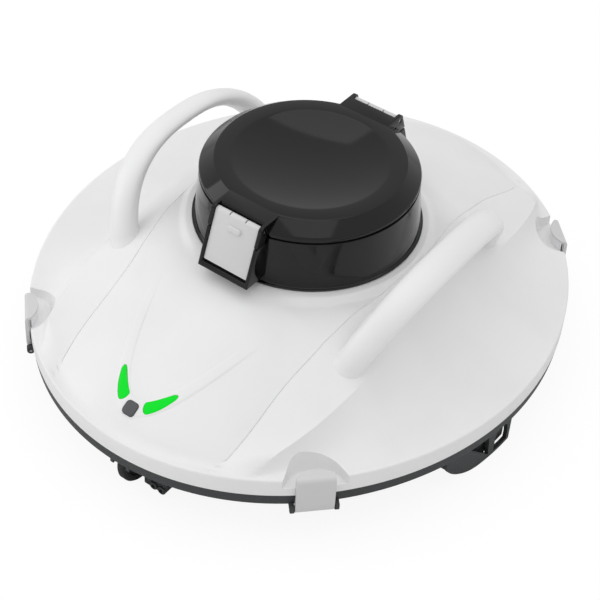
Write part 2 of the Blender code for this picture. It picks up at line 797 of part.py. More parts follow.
def latch_surround(name, turned):
    """Block on the housing wall that the latch lies in."""
    low, high = latch_sweep(0.0052), SURROUND_TOP
    wall_y = -(BOX_TOP_RADIUS - 0.006)
    outline = [
        (wall_y, high),
        (latch_outer_edge(high, SURROUND_PROUD), high),
        (latch_outer_edge(low, SURROUND_PROUD), low),
        (wall_y, low),
    ]
    half = LATCH_HALF_WIDTH + CHEEK_GAP + CHEEK
    block = side_prism(name, outline, -half, half, BLACK)
    return place(block, turned)


def place(obj, turned):
    """Turn a finished piece, with the tools that shape it, half round to the rear."""
    if turned:
        tools = [step.object for step in obj.modifiers if step.type == "BOOLEAN"]
        for piece in (obj, *tools):
            piece.matrix_basis = half_turn() @ piece.matrix_basis
    return obj


def latch_room(name, turned):
    """Room for the latch panel, its back wall parallel to the panel."""
    low, high = latch_sweep(0.0022), BOX_SPLIT
    back = LATCH_THICKNESS + 0.0006
    outline = [
        (latch_outer_edge(high, -back), high),
        (latch_outer_edge(high, 0.02), high),
        (latch_outer_edge(low, 0.02), low),
        (latch_outer_edge(low, -back), low),
    ]
    half = LATCH_HALF_WIDTH + CHEEK_GAP
    return place(side_prism(name, outline, -half, half, BLACK), turned)


def motor_box_housing():
    """Sealed drum: lip on the shell, tapering wall above it, deep cup below it."""
    lip = SEAT_HEIGHT + SEAM_GAP
    top = BOX_SPLIT - SEAM_GAP
    inner = BOX_LOWER_RADIUS - BOX_WALL
    profile = [
        (SHAFT_RADIUS + 0.006, BOX_FLOOR),
        (BOX_LOWER_RADIUS, BOX_FLOOR),
        (BOX_LOWER_RADIUS, lip),
        (BOX_LIP_RADIUS, lip),
        (BOX_LIP_RADIUS, lip + BOX_LIP_HEIGHT),
        (BOX_FOOT_RADIUS + 0.0016, lip + BOX_LIP_HEIGHT + 0.0010),
        (BOX_FOOT_RADIUS + 0.0003, lip + BOX_LIP_HEIGHT + 0.0032),
        (BOX_FOOT_RADIUS, lip + BOX_LIP_HEIGHT + 0.0060),
        (BOX_TOP_RADIUS, top - 0.0022),
        (BOX_TOP_RADIUS - 0.0012, top - 0.0020),
        (BOX_TOP_RADIUS - 0.0012, top),
        (inner - 0.003, top),
        (inner - 0.003, top - 0.004),
        (inner, top - 0.007),
        (inner, BOX_FLOOR + BOX_WALL),
        (SHAFT_RADIUS + 0.006, BOX_FLOOR + BOX_WALL),
    ]
    drum = turn("motor_box_housing", profile, BLACK, DRUM_STEPS)
    for end, turned in (("front", False), ("rear", True)):
        join(drum, latch_surround(f"surround_{end}", turned))
        cut(drum, latch_room(f"latch_room_{end}", turned))
    inside, outside = (-0.06, 0, SOCKET_HEIGHT), (-0.1, 0, SOCKET_HEIGHT)
    hole_radius = SOCKET_RADIUS + SEAM_GAP
    return cut(drum, rod("socket_hole", inside, outside, hole_radius, steps=SOCKET_STEPS))


def ear_block(name, turned):
    """Ledge from the flat ring out to the latch, ending in two ears round the pin."""
    nose = latch_outer_edge(LATCH_PIVOT[1], 0.0008)
    outline = [
        (-CAP_RING_RADIUS + 0.0080, CAP_TOP),
        *arc((nose + 0.0036, CAP_TOP - 0.0036), 0.0036, 90, 180, 4),
        (latch_outer_edge(EAR_BOTTOM, SURROUND_PROUD), EAR_BOTTOM),
        (-BOX_TOP_RADIUS - 0.0020, EAR_BOTTOM),
        (-BOX_TOP_RADIUS - 0.0006, BOX_SPLIT),
        (-BOX_TOP_RADIUS + 0.0013, BOX_SPLIT),
        (-BOX_TOP_RADIUS + 0.0020, BOX_SPLIT + 0.0030),
        (-CAP_RING_RADIUS + 0.0080, BOX_SPLIT + 0.0045),
    ]
    half = LATCH_HALF_WIDTH + CHEEK_GAP + CHEEK
    return place(side_prism(name, outline, -half, half, BLACK), turned)


def ear_room(name, turned):
    """Gap between the ears, with a bevelled top edge on the ledge."""
    back = LATCH_PIVOT[0] + LATCH_BARREL + 0.0004
    outline = [
        (back + 0.0015, CAP_TOP + 0.001),
        (back - 0.03, CAP_TOP + 0.001),
        (back - 0.03, 0.1440),
        (back, 0.1440),
        (back, CAP_TOP - 0.0012),
    ]
    half = LATCH_HALF_WIDTH + CHEEK_GAP
    return place(side_prism(name, outline, -half, half, BLACK), turned)


def latch_pin_rod(name, radius, half, turned, finish=STEEL):
    y0, z0 = LATCH_PIVOT
    y0 = -y0 if turned else y0
    return rod(name, (-half, y0, z0), (half, y0, z0), radius, finish, PIN_STEPS)


def dish_radius():
    """Radius of the sphere that the dish is part of."""
    return (DISH_RADIUS**2 + DISH_DEPTH**2) / (2 * DISH_DEPTH)


def dish_height(radius):
    """Height of the dish's upper face: shallow, with its lowest point at the axis."""
    ball = dish_radius()
    return CAP_TOP - DISH_DEPTH + ball - math.sqrt(ball**2 - radius**2)


def motor_box_cap():
    """Chamfered ring, flat ring and a shallow dish, with ears for both latches."""
    split = BOX_SPLIT
    stations = [DISH_RADIUS * share for share in (0, 0.25, 0.5, 0.75, 1)]
    dish = [(radius, dish_height(radius)) for radius in stations]
    under = [(radius * 0.98, z - CAP_WALL) for radius, z in dish[::-2] if radius]
    under.append((0.0, dish[0][1] - CAP_WALL))
    profile = [
        *dish,
        (CAP_RING_RADIUS - 0.0006, CAP_TOP),
        (CAP_RING_RADIUS, CAP_TOP - 0.0004),
        (BOX_TOP_RADIUS, CAP_SKIRT_TOP),
        (BOX_TOP_RADIUS, split),
        (BOX_TOP_RADIUS - 0.0027, split),
        (BOX_TOP_RADIUS - 0.0029, split + 0.0020),
        (CAP_RING_RADIUS - 0.0002, CAP_TOP - CAP_WALL),
        *under,
    ]
    cap = turn("motor_box_cap", profile, BLACK, DRUM_STEPS)
    hole_radius = PIN_RADIUS + PIN_CLEARANCE
    for end, turned in (("front", False), ("rear", True)):
        join(cap, ear_block(f"ear_block_{end}", turned))
        cut(cap, ear_room(f"ear_room_{end}", turned))
        cut(cap, latch_pin_rod(f"ear_hole_{end}", hole_radius, 0.03, turned))
    return cap


def latch(name):
    """White panel hung on a barrel, with a raised thumb tab near its top."""
    y0, z0 = LATCH_PIVOT
    down = Vector((-math.sin(LATCH_LEAN), -math.cos(LATCH_LEAN)))
    out = Vector((-math.cos(LATCH_LEAN), math.sin(LATCH_LEAN)))
    pivot = Vector((y0, z0))

    def spot(drop, proud):
        point = pivot + down * drop + out * (LATCH_BARREL + proud)
        return (point.x, point.y)

    lean = math.degrees(LATCH_LEAN)
    reach = LATCH_REACH
    barrel = arc((y0, z0), LATCH_BARREL, -25 - lean, 180 - lean, 9)
    outline = [
        *barrel,
        spot(reach - 0.0008, 0.0),
        spot(reach, -0.0008),
        spot(reach, -LATCH_THICKNESS),
        spot(0.004, -LATCH_THICKNESS),
    ]
    origin = (0.0, y0, z0)
    panel = side_prism(name, outline, -LATCH_HALF_WIDTH, LATCH_HALF_WIDTH, WHITE, origin)
    tab = [spot(0.0050, -0.001), spot(0.0050, 0.0007), spot(0.0056, 0.0010)]
    tab += [spot(0.0086, 0.0010), spot(0.0092, 0.0007), spot(0.0092, -0.001)]
    join(panel, side_prism(f"{name}_tab", tab, -0.0060, 0.0060, WHITE))
    cut(panel, latch_pin_rod(f"{name}_bore", PIN_RADIUS + PIN_CLEARANCE, 0.03, False))
    edge = panel.modifiers.new("edge", "BEVEL")
    edge.width = 0.0004
    edge.segments = 1
    edge.limit_method = "ANGLE"
    edge.angle_limit = math.radians(60)
    return panel


def latches():
    half = LATCH_HALF_WIDTH + CHEEK_GAP + CHEEK - 0.0004
    for end, turned in (("front", False), ("rear", True)):
        place(latch(f"latch_{end}"), turned)
        latch_pin_rod(f"latch_pin_{end}", PIN_RADIUS, half, turned)


def inside_motor_box():
    """Seal, cells in their holder, circuit board, pump motor, shaft, impeller and its guard."""
    top = BOX_SPLIT
    ring = BOX_LOWER_RADIUS - BOX_WALL
    seal = [(ring - 0.0027, top), (ring + 0.0003, top), (ring + 0.0003, top + 0.0014)]
    seal.append((ring - 0.0027, top + 0.0014))
    turn("cap_seal", seal, RUBBER, DRUM_STEPS)
    floor = BOX_FLOOR + BOX_WALL + SEAM_GAP
    holder_z = floor + 0.030
    holder = turn(
        "battery_holder",
        [
            (MOTOR_RADIUS + 2 * SEAM_GAP, holder_z),
            (ring - SEAM_GAP, holder_z),
            (ring - SEAM_GAP, holder_z + 0.004),
            (MOTOR_RADIUS + SEAM_GAP, holder_z + 0.004),
        ],
        DARK,
        DRUM_STEPS,
    )
    for i in range(CELL_COUNT):
        centre = polar(math.tau * (i + 0.42) / CELL_COUNT, CELL_CIRCLE, floor)
        tip = centre + Vector((0, 0, CELL_LENGTH))
        rod(f"battery_cell_{i + 1}", centre, tip, CELL_RADIUS, CELL, 12)
        low, high = centre + Vector((0, 0, 0.02)), centre + Vector((0, 0, 0.05))
        cut(holder, rod(f"cell_hole_{i}", low, high, CELL_RADIUS + SEAM_GAP, CELL, 12))
    board_z = floor + CELL_LENGTH + SEAM_GAP
    board = [(0, board_z), (ring - 0.006, board_z), (ring - 0.006, board_z + 0.0016)]
    turn("circuit_board", [*board, (0, board_z + 0.0016)], BOARD)
    can = [
        (SHAFT_RADIUS + SEAM_GAP, floor),
        (MOTOR_RADIUS - 0.0010, floor),
        (MOTOR_RADIUS, floor + 0.0010),
        (MOTOR_RADIUS, floor + MOTOR_HEIGHT),
        (MOTOR_RADIUS - 0.0020, floor + MOTOR_HEIGHT + 0.0015),
        (0.0060, floor + MOTOR_HEIGHT + 0.0015),
        (0.0060, floor + MOTOR_HEIGHT + 0.0035),
        (0.0, floor + MOTOR_HEIGHT + 0.0035),
        (0.0, floor + 0.0200),
        (SHAFT_RADIUS + SEAM_GAP, floor + 0.0200),
    ]
    turn("pump_motor", can, STEEL, 20)
    packing = [
        (SHAFT_RADIUS + SEAM_GAP, BOX_FLOOR),
        (SHAFT_RADIUS + 0.006 - SEAM_GAP, BOX_FLOOR),
        (SHAFT_RADIUS + 0.006 - SEAM_GAP, BOX_FLOOR + BOX_WALL),
        (SHAFT_RADIUS + SEAM_GAP, BOX_FLOOR + BOX_WALL),
    ]
    turn("shaft_seal", packing, RUBBER, 16)
    shaft_ends = (0, 0, SHAFT_BOTTOM), (0, 0, floor + 0.0195)
    rod("pump_shaft", *shaft_ends, SHAFT_RADIUS, STEEL, 12)
    impeller()
    impeller_guard()


def impeller():
    """Disc and hub with curved blades underneath, on the pump shaft."""
    disc_z = BOX_FLOOR - 0.0024
    bore = SHAFT_RADIUS + SEAM_GAP
    profile = [
        (bore, disc_z - 0.0070),
        (0.0050, disc_z - 0.0070),
        (0.0060, disc_z - 0.0016),
        (IMPELLER_RADIUS, disc_z - 0.0010),
        (IMPELLER_RADIUS, disc_z),
        (bore, disc_z),
    ]
    wheel = turn("impeller", profile, DARK, 18, origin=(0.0, 0.0, disc_z))
    for k in range(IMPELLER_BLADES):
        start = math.tau * k / IMPELLER_BLADES
        inner, outer = [], []
        for i in range(4):
            radius = 0.0048 + (IMPELLER_RADIUS - 0.0055) * i / 3
            angle = start + 0.9 * i / 3
            half = 0.0007 / radius
            inner.append((radius * math.cos(angle - half), radius * math.sin(angle - half)))
            outer.append((radius * math.cos(angle + half), radius * math.sin(angle + half)))
        blade = inner + outer[::-1]
        join(wheel, plan_prism(f"blade_{k}", blade, disc_z - 0.0064, disc_z - 0.0005))
    return wheel


def impeller_guard():
    """Open-bottomed cup under the motor box; water enters below and leaves at both sides."""
    top = BOX_FLOOR - SEAM_GAP
    low = GUARD_CUP_BOTTOM
    wall = 0.002
    profile = [
        (0.0160, low),
        (GUARD_CUP_RADIUS, low),
        (GUARD_CUP_RADIUS, top),
        (GUARD_CUP_RADIUS - wall, top),
        (GUARD_CUP_RADIUS - wall, low + wall),
        (0.0160, low + wall),
    ]
    cup = turn("impeller_guard", profile, DARK)
    port = box("guard_ports", (-0.04, -0.009, low + 0.003), (0.04, 0.009, top - 0.002))
    return cut(cup, port)


def wall_radius(z):
    """Radius of the housing's tapering wall at height z."""
    low = SEAT_HEIGHT + SEAM_GAP + BOX_LIP_HEIGHT + 0.0060
    share = (z - low) / (BOX_SPLIT - 0.0022 - low)
    return BOX_FOOT_RADIUS + (BOX_TOP_RADIUS - BOX_FOOT_RADIUS) * share


def charging_port():
    """Socket in the side wall, closed by a pull-out rubber cap."""
    height = SOCKET_HEIGHT
    wall_x = -wall_radius(height)
    socket = rod(
        "charge_socket",
        (wall_x + 0.0080, 0, height),
        (wall_x + 0.0005, 0, height),
        SOCKET_RADIUS,
        DARK,
        SOCKET_STEPS,
    )
    pocket = rod("socket_pocket", (wall_x + 0.007, 0, height), (wall_x - 0.01, 0, height), 0.0042)
    cut(socket, pocket)
    face = wall_x - 0.0015
    profile = [
        (0, 0.0),
        (0.0038, 0.0),
        (0.0038, 0.0065),
        (SOCKET_CAP_RADIUS, 0.0065),
        (SOCKET_CAP_RADIUS, 0.0080),
        (SOCKET_CAP_RADIUS - 0.0010, 0.0088),
        (0, 0.0090),
    ]
    frame = frame_along((-1, 0, 0), (face + 0.0062, 0, height))
    turn("charge_cap", profile, RUBBER, 20, frame, (face, 0.0, height))


# ---- base --------------------------------------------------------------------------------------
def base_profile():
    """(inset, z) pairs of the tray: outer face downwards, then the inner face back up."""
    top = RIM_BOTTOM - SEAM_GAP
    outer = [
        (BASE_INSET, top),
        (BASE_INSET, BASE_EDGE_BOTTOM + 0.0010),
        (BASE_INSET + 0.0010, BASE_EDGE_BOTTOM),
        (0.0065, 0.0292),
        (0.0350, 0.0208),
        (BELLY_INSET, BELLY),
    ]
    inner = [
        (BELLY_INSET, BELLY + BASE_WALL),
        (0.0350, 0.0208 + BASE_WALL),
        (0.0080, 0.0292 + BASE_WALL),
        (TONGUE_INSET + TONGUE_WALL, 0.0345 + BASE_WALL),
        (TONGUE_INSET + TONGUE_WALL, TONGUE_TOP),
        (TONGUE_INSET, TONGUE_TOP),
        (TONGUE_INSET, top),
    ]
    return outer, inner


def wheel_well(name, centre, radius, half_width, grow):
    """Box round a wheel's upper part: grow is the wall, or zero for the hollow."""
    x, y = centre
    half_x = half_width + WELL_CLEARANCE + grow
    half_y = radius + WELL_CLEARANCE + grow
    z_low = 0.012 if grow else -0.01
    z_high = 2 * radius + WELL_CLEARANCE + grow
    return box(name, (x - half_x, y - half_y, z_low), (x + half_x, y + half_y, z_high))


def wheel_places():
    """(name, centre in plan, radius, width) of the four wheels."""
    return (
        ("front_wheel", (END_WHEEL_X, -END_WHEEL_Y), END_WHEEL_RADIUS, END_WHEEL_WIDTH),
        ("rear_wheel", (-END_WHEEL_X, END_WHEEL_Y), END_WHEEL_RADIUS, END_WHEEL_WIDTH),
        ("side_wheel_right", (SIDE_WHEEL_X, SIDE_WHEEL_Y), SIDE_WHEEL_RADIUS, SIDE_WHEEL_WIDTH),
        ("side_wheel_left", (-SIDE_WHEEL_X, SIDE_WHEEL_Y), SIDE_WHEEL_RADIUS, SIDE_WHEEL_WIDTH),
    )


def prong_pair(index):
    """Two ears under the base's edge that hold one clip pin."""
    frame = clip_frame(index)
    made = []
    for side in (-1, 1):
        centre = side * (CLIP_HALF_WIDTH + 0.0004 + PRONG / 2)
        outline = [(-0.0075, 0.0345), (-0.0062, 0.0292)]
        outline += arc((CLIP_PIVOT_OUT, CLIP_PIVOT_Z), 0.0027, 215, 360, 6)
        outline += [(CLIP_PIVOT_OUT + 0.0027, 0.0330), (-BASE_INSET - 0.0004, 0.0345)]
        bm = bmesh.new()
        rings = []
        for edge in (centre - PRONG / 2, centre + PRONG / 2):
            rings.append([frame @ Vector((out, edge, z)) for out, z in outline])
        loft(bm, rings)
        made.append(finish_object(f"prong_{index}_{side}", bm, DARK))
    return made


def clip_pin_rod(name, index, radius, half):
    frame = clip_frame(index)
    ends = [frame @ Vector((CLIP_PIVOT_OUT, side * half, CLIP_PIVOT_Z)) for side in (-1, 1)]
    return rod(name, ends[0], ends[1], radius, STEEL, PIN_STEPS)


def base_shell():
    outer, inner = base_profile()
    bm = bmesh.new()
    rings = [oval_ring(inset, z) for inset, z in reversed(outer)]
    rings += [oval_ring(inset, z) for inset, z in reversed(inner)]
    loft(bm, rings)
    tray = finish_object("base_shell", bm, DARK)
    for side, end in ((-1, "front"), (1, "rear")):
        y = side * INLET_Y
        wall = INLET_WALL
        outside = ((-INLET_HALF_X - wall, y - INLET_HALF_Y - wall, INLET_MOUTH),)
        outside += ((INLET_HALF_X + wall, y + INLET_HALF_Y + wall, INLET_TOP),)
        join(tray, box(f"inlet_duct_{end}", *outside))
        hollow = ((-INLET_HALF_X, y - INLET_HALF_Y, -0.01), (INLET_HALF_X, y + INLET_HALF_Y, 0.05))
        cut(tray, box(f"inlet_hollow_{end}", *hollow))
        join(tray, *flap_lugs(side, end))
    for name, centre, radius, width in wheel_places():
        well = wheel_well(f"{name}_well", centre, radius, width / 2, WELL_WALL)
        join(tray, trimmed_well(well, name))
        cut(tray, wheel_well(f"{name}_room", centre, radius, width / 2, 0.0))
        cut(tray, axle_rod(f"{name}_axle_hole", centre, radius, AXLE_RADIUS + BORE_CLEARANCE, 0.02))
    for index in range(4):
        join(tray, *prong_pair(index))
        half = CLIP_HALF_WIDTH + 0.0004 + PRONG + 0.002
        cut(tray, clip_pin_rod(f"prong_hole_{index}", index, CLIP_PIN_RADIUS + PIN_CLEARANCE, half))
    return tray


def trimmed_well(well, name):
    """Keep the well inside the tray's edge."""
    bm = bmesh.new()
    inset = BASE_INSET + BASE_WALL
    if name.startswith("side"):
        inset = GUARD_INSET + GUARD_WALL + SEAM_GAP
    loft(bm, [oval_ring(inset, 0.0), oval_ring(inset, 0.2)])
    limit = finish_object(f"{name}_limit", bm, DARK)
    return combine(well, limit, "INTERSECT")


def axle_rod(name, centre, height, radius, half, finish=STEEL):
    x, y = centre
    return rod(name, (x - half, y, height), (x + half, y, height), radius, finish, PIN_STEPS)


# ---- suction flaps and filter ------------------------------------------------------------------
def flap_pivot(side):
    return (side * (INLET_Y + INLET_HALF_Y + 0.0050), INLET_TOP + 0.0013)


def flap_lugs(side, end):
    y, z = flap_pivot(side)
    lugs = []
    for x in (-INLET_HALF_X - 0.0040, INLET_HALF_X + 0.0040):
        low, high = (x - 0.0012, y - 0.0022, BELLY + 0.001), (x + 0.0012, y + 0.0022, z + 0.0030)
        lug = box(f"flap_lug_{end}_{x:.3f}", low, high)
        bore = FLAP_PIN_RADIUS + PIN_CLEARANCE
        hole = rod(f"lug_hole_{end}_{x:.3f}", (x - 0.01, y, z), (x + 0.01, y, z), bore)
        lugs.append(cut(lug, hole))
    return lugs


def suction_flap(side, end):
    """Valve plate that lies on the inlet and lifts with the flow, on a pin along X."""
    y, z = flap_pivot(side)
    outline = flap_outline(side, y, z)
    half = INLET_HALF_X + INLET_WALL
    plate = side_prism(f"suction_flap_{end}", outline, -half, half, RUBBER, (0.0, y, z))
    bore = rod(f"flap_bore_{end}", (-0.06, y, z), (0.06, y, z), FLAP_PIN_RADIUS + PIN_CLEARANCE)
    cut(plate, bore)
    reach = INLET_HALF_X + 0.0052
    rod(f"flap_pin_{end}", (-reach, y, z), (reach, y, z), FLAP_PIN_RADIUS, STEEL, 12)
    return plate


def flap_outline(side, y, z):
    """Flat plate from its tip to a barrel round the pin at (y, z)."""
    low = INLET_TOP + SEAM_GAP
    tip = side * (INLET_Y - INLET_HALF_Y - INLET_WALL)
    points = [(tip, low), (tip, low + FLAP_THICKNESS)]
    first = math.radians(125)
    last = -math.pi + math.asin((z - low) / FLAP_BARREL)
    for i in range(9):
        angle = first + (last - first) * i / 8
        across, rise = FLAP_BARREL * math.cos(angle), FLAP_BARREL * math.sin(angle)
        points.append((y + side * across, z + rise))
    return points


def filter_tray():
    """Oval wall on the tray's floor with a bar across its middle."""
    floor = BELLY + BASE_WALL + SEAM_GAP
    bm = bmesh.new()
    inner, outer = FILTER_INSET + FILTER_WALL, FILTER_INSET
    rings = [
        oval_ring(outer, floor, FILTER_STEPS),
        oval_ring(outer, FILTER_TOP, FILTER_STEPS),
        oval_ring(inner, FILTER_TOP, FILTER_STEPS),
        oval_ring(inner, floor, FILTER_STEPS),
    ]
    loft(bm, rings, wrap=True)
    tray = finish_object("filter_tray", bm, WHITE)
    reach = HALF_WIDTH - FILTER_INSET - FILTER_WALL / 2
    for side in (-1, 1):
        ends = sorted((side * SCREEN_INNER, side * reach))
        low, high = (ends[0], -0.0015, FILTER_TOP - 0.006), (ends[1], 0.0015, FILTER_TOP)
        join(tray, box(f"filter_bar_{side}", low, high))
    low, high = (0, 0, FILTER_TOP - 0.006), (0, 0, FILTER_TOP)
    return join(tray, rod("filter_ring", low, high, 0.0365, WHITE, 16, 0.034))


def filter_screen(name, turned):
    """Half of an oval grid: windows between radial and round ribs."""
    sectors, rings = 2 * SCREEN_SECTORS + 1, 2 * SCREEN_RINGS + 1
    spread = math.pi - 0.012
    bm = bmesh.new()
    grid = []
    for i in range(sectors + 1):
        share = rib_share(i, sectors, 0.22)
        phi = -spread / 2 + spread * share
        edge = rim_radius(phi) - FILTER_INSET - 0.0004
        row = []
        for j in range(rings + 1):
            radius = SCREEN_INNER + (edge - SCREEN_INNER) * rib_share(j, rings, 0.16)
            row.append(bm.verts.new(polar(phi, radius, FILTER_TOP + SEAM_GAP)))
        grid.append(row)
    for i in range(sectors):
        for j in range(rings):
            if i % 2 and j % 2:
                continue
            bm.faces.new((grid[i][j], grid[i + 1][j], grid[i + 1][j + 1], grid[i][j + 1]))
    screen = finish_object(name, bm, MESH)
    wall = screen.modifiers.new("thickness", "SOLIDIFY")
    wall.thickness = SCREEN_THICKNESS
    wall.offset = 1
    return place(screen, turned)


def rib_share(index, cells, rib):
    """Position of a grid line when ribs and windows alternate and a rib is a share of a pair."""
    pairs = (cells - 1) // 2
    unit = 1 / (pairs + rib)
    return (index // 2) * unit + (index % 2) * rib * unit


# ---- clips -------------------------------------------------------------------------------------
def rim_clip(index, name):
    """Spring panel: barrel round its pin, straight face, and a crescent lip over its seat."""
    frame = clip_frame(index)
    out, low = CLIP_PIVOT_OUT, CLIP_PIVOT_Z
    face = out + CLIP_BARREL
    hook = CLIP_SEAT_TOP + SEAM_GAP
    bm = bmesh.new()
    rings = []
    for reach, across in clip_crescent(CLIP_HALF_WIDTH, CLIP_SEAT_DEPTH + 0.0006, 4):
        outline = arc((out, low), CLIP_BARREL, 130, 355, 8)
        outline += [(face + 0.0004, low + 0.006), (face, RIM_TOP - 0.002)]
        outline += arc((face - 0.0022, RIM_TOP + 0.0004), 0.0024, 15, 80, 2)
        outline += [(-reach, hook + 0.0019), (-reach - 0.0004, hook + 0.0004), (-reach, hook)]
        outline += [(0.0004, hook), (0.0005, low + CLIP_BARREL + 0.0028)]
        rings.append([frame @ Vector((a, across, z)) for a, z in outline])
    loft(bm, rings, triangles=True)
    pivot = frame @ Vector((out, 0.0, low))
    clip = finish_object(name, bm, WHITE, pivot)
    bore = clip_pin_rod(f"{name}_bore", index, CLIP_PIN_RADIUS + PIN_CLEARANCE, 0.03)
    cut(clip, bore)
    pin_half = CLIP_HALF_WIDTH + 0.0004 + PRONG
    clip_pin_rod(f"clip_pin_{name[9:]}", index, CLIP_PIN_RADIUS, pin_half)
    return clip


# ---- wheels, brackets and guards ---------------------------------------------------------------
def wheel(name, centre, radius, width):
    """Rubber wheel with rounded shoulders, a dished face and a bored hub."""
    x, y = centre
    half = width / 2
    bore = AXLE_RADIUS + BORE_CLEARANCE
    profile = [
        (bore, -half),
        (0.0058, -half),
        (radius - 0.0052, -half + 0.0012),
        (radius - 0.0010, -half + 0.0004),
        (radius, 0.0),
        (radius - 0.0010, half - 0.0004),
        (radius - 0.0052, half - 0.0012),
        (0.0058, half),
        (bore, half),
    ]
    frame = frame_along((1, 0, 0), (x, y, radius))
    return turn(name, profile, RUBBER, WHEEL_STEPS, frame, (x, y, radius))


def wheels():
    for name, centre, radius, width in wheel_places():
        wheel(name, centre, radius, width)
        half = width / 2 + WELL_CLEARANCE + WELL_WALL
        axle_rod(f"{name}_axle", centre, radius, AXLE_RADIUS, half)


def end_bracket(name, turned):
    """Block beside an end wheel with a rounded outer corner and two screw bosses."""
    inner = END_WHEEL_X + END_WHEEL_WIDTH / 2 + WELL_CLEARANCE + WELL_WALL + SEAM_GAP
    outer, bottom, corner = BRACKET_OUTER, BRACKET_BOTTOM, BRACKET_CORNER
    outline = [(inner, BRACKET_TOP), (inner, bottom)]
    outline += arc((outer - corner, bottom + corner), corner, 270, 360, 6)
    outline += [(outer, BRACKET_TOP)]
    axes = ((1, 0, 0), (0, 0, 1), (0, 1, 0))
    block = prism(name, outline, axes, -END_WHEEL_Y - 0.008, -END_WHEEL_Y + 0.010)
    for x in BRACKET_BOSSES:
        boss = rod(
            f"{name}_boss_{x}",
            (x, -END_WHEEL_Y - 0.0095, bottom + 0.004),
            (x, -END_WHEEL_Y, bottom + 0.004),
            0.0033,
            DARK,
        )
        join(block, boss)
    return place(block, turned)


def guard_bottom(y):
    """Lower edge of a side guard: a quarter ellipse in front, then level."""
    if y >= GUARD_CORNER:
        return GUARD_BOTTOM
    share = (GUARD_CORNER - y) / (GUARD_CORNER - GUARD_FRONT)
    return GUARD_TOP - (GUARD_TOP - GUARD_BOTTOM) * math.sqrt(max(1 - share**2, 0.0))


def rim_x(y, inset):
    """x on the oval, moved in by inset, at a given y on the +X side."""
    low, high = math.radians(40), math.radians(140)
    for _ in range(30):
        middle = (low + high) / 2
        if polar(middle, rim_radius(middle) - inset).y < y:
            low = middle
        else:
            high = middle
    return polar(low, rim_radius(low) - inset).x


def side_guard(name, side):
    """Curved skid plate under the rim, outside a side wheel, with two windows."""
    steps = 14
    rings = []
    for i in range(steps + 1):
        y = GUARD_FRONT + 0.001 + (GUARD_REAR - GUARD_FRONT - 0.001) * i / steps
        outer, inner = rim_x(y, GUARD_INSET), rim_x(y, GUARD_INSET + GUARD_WALL)
        low = min(guard_bottom(y), GUARD_TOP - 0.002)
        ring = ((outer, GUARD_TOP), (outer, low), (inner, low), (inner, GUARD_TOP))
        rings.append([(side * x, y, z) for x, z in ring])
    bm = bmesh.new()
    loft(bm, rings)
    plate = finish_object(name, bm, DARK)
    front_window = [(-0.0480, 0.0262), (-0.0285, 0.0262), (-0.0265, 0.0060)]
    rear_window = [(-0.0205, 0.0050), (-0.0205, 0.0170)]
    rear_window += arc((-0.0130, 0.0170), 0.0075, 180, 20, 6)[1:]
    rear_window += [(-0.0045, 0.0120), (-0.0045, 0.0050)]
    for label, outline in (("front", front_window), ("rear", rear_window)):
        reach = sorted((side * 0.15, side * 0.2))
        cut(plate, side_prism(f"{name}_{label}_window", outline, *reach))
    return plate


def build():
    clear_scene()
    top_shell()
    light_pieces()
    handle("handle_right", 1)
    handle("handle_left", -1)
    motor_box_housing()
    motor_box_cap()
    latches()
    inside_motor_box()
    charging_port()
    base_shell()
    for side, end in ((-1, "front"), (1, "rear")):
        suction_flap(side, end)
    filter_tray()
    filter_screen("filter_screen_front", False)
    filter_screen("filter_screen_rear", True)
    corners = ("front_right", "rear_right", "rear_left", "front_left")
    for index, corner in enumerate(corners):
        rim_clip(index, f"rim_clip_{corner}")
    wheels()
    end_bracket("front_wheel_bracket", False)
    end_bracket("rear_wheel_bracket", True)
    side_guard("side_guard_right", 1)
    side_guard("side_guard_left", -1)


build()
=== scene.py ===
import json
import math

import bpy
from mathutils import Matrix, Vector


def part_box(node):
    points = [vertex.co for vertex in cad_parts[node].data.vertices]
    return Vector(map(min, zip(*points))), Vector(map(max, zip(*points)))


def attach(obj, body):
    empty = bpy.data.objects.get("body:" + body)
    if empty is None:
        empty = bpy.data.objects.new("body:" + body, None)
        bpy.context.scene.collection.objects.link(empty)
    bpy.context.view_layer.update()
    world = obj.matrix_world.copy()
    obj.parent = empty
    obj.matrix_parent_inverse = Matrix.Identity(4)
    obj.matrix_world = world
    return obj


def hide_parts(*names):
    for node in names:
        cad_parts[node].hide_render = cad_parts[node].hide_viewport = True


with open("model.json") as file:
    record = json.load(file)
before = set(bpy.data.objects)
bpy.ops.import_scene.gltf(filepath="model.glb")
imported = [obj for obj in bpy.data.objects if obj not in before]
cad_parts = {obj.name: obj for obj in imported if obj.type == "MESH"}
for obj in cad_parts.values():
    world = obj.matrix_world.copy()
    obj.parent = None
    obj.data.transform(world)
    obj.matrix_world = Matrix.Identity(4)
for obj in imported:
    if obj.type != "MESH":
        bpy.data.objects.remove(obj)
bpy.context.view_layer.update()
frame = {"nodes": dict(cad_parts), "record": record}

print("frame loaded")

camera = {"azimuth": 34.21, "elevation": 43.15, "roll": 3.57, "lens": 94.09,
          "target": (0.03153, -0.04901, 0.080), "distance": 1.09444}


def linked(name, data):
    made = bpy.data.objects.new(name, data)
    bpy.context.scene.collection.objects.link(made)
    return made


def setUpCamera(settings):
    data = bpy.data.cameras.new("camera")
    data.lens = settings["lens"]
    data.sensor_width = 36
    data.clip_start = 0.05
    data.clip_end = 50
    made = linked("camera", data)
    turn = Matrix.Rotation(math.radians(settings["azimuth"]), 4, "Z")
    turn = turn @ Matrix.Rotation(math.radians(90 - settings["elevation"]), 4, "X")
    turn = turn @ Matrix.Rotation(math.radians(settings["roll"]), 4, "Z")
    back = turn @ Vector((0, 0, settings["distance"]))
    made.matrix_world = Matrix.Translation(Vector(settings["target"]) + back) @ turn
    bpy.context.scene.camera = made


setUpCamera(camera)


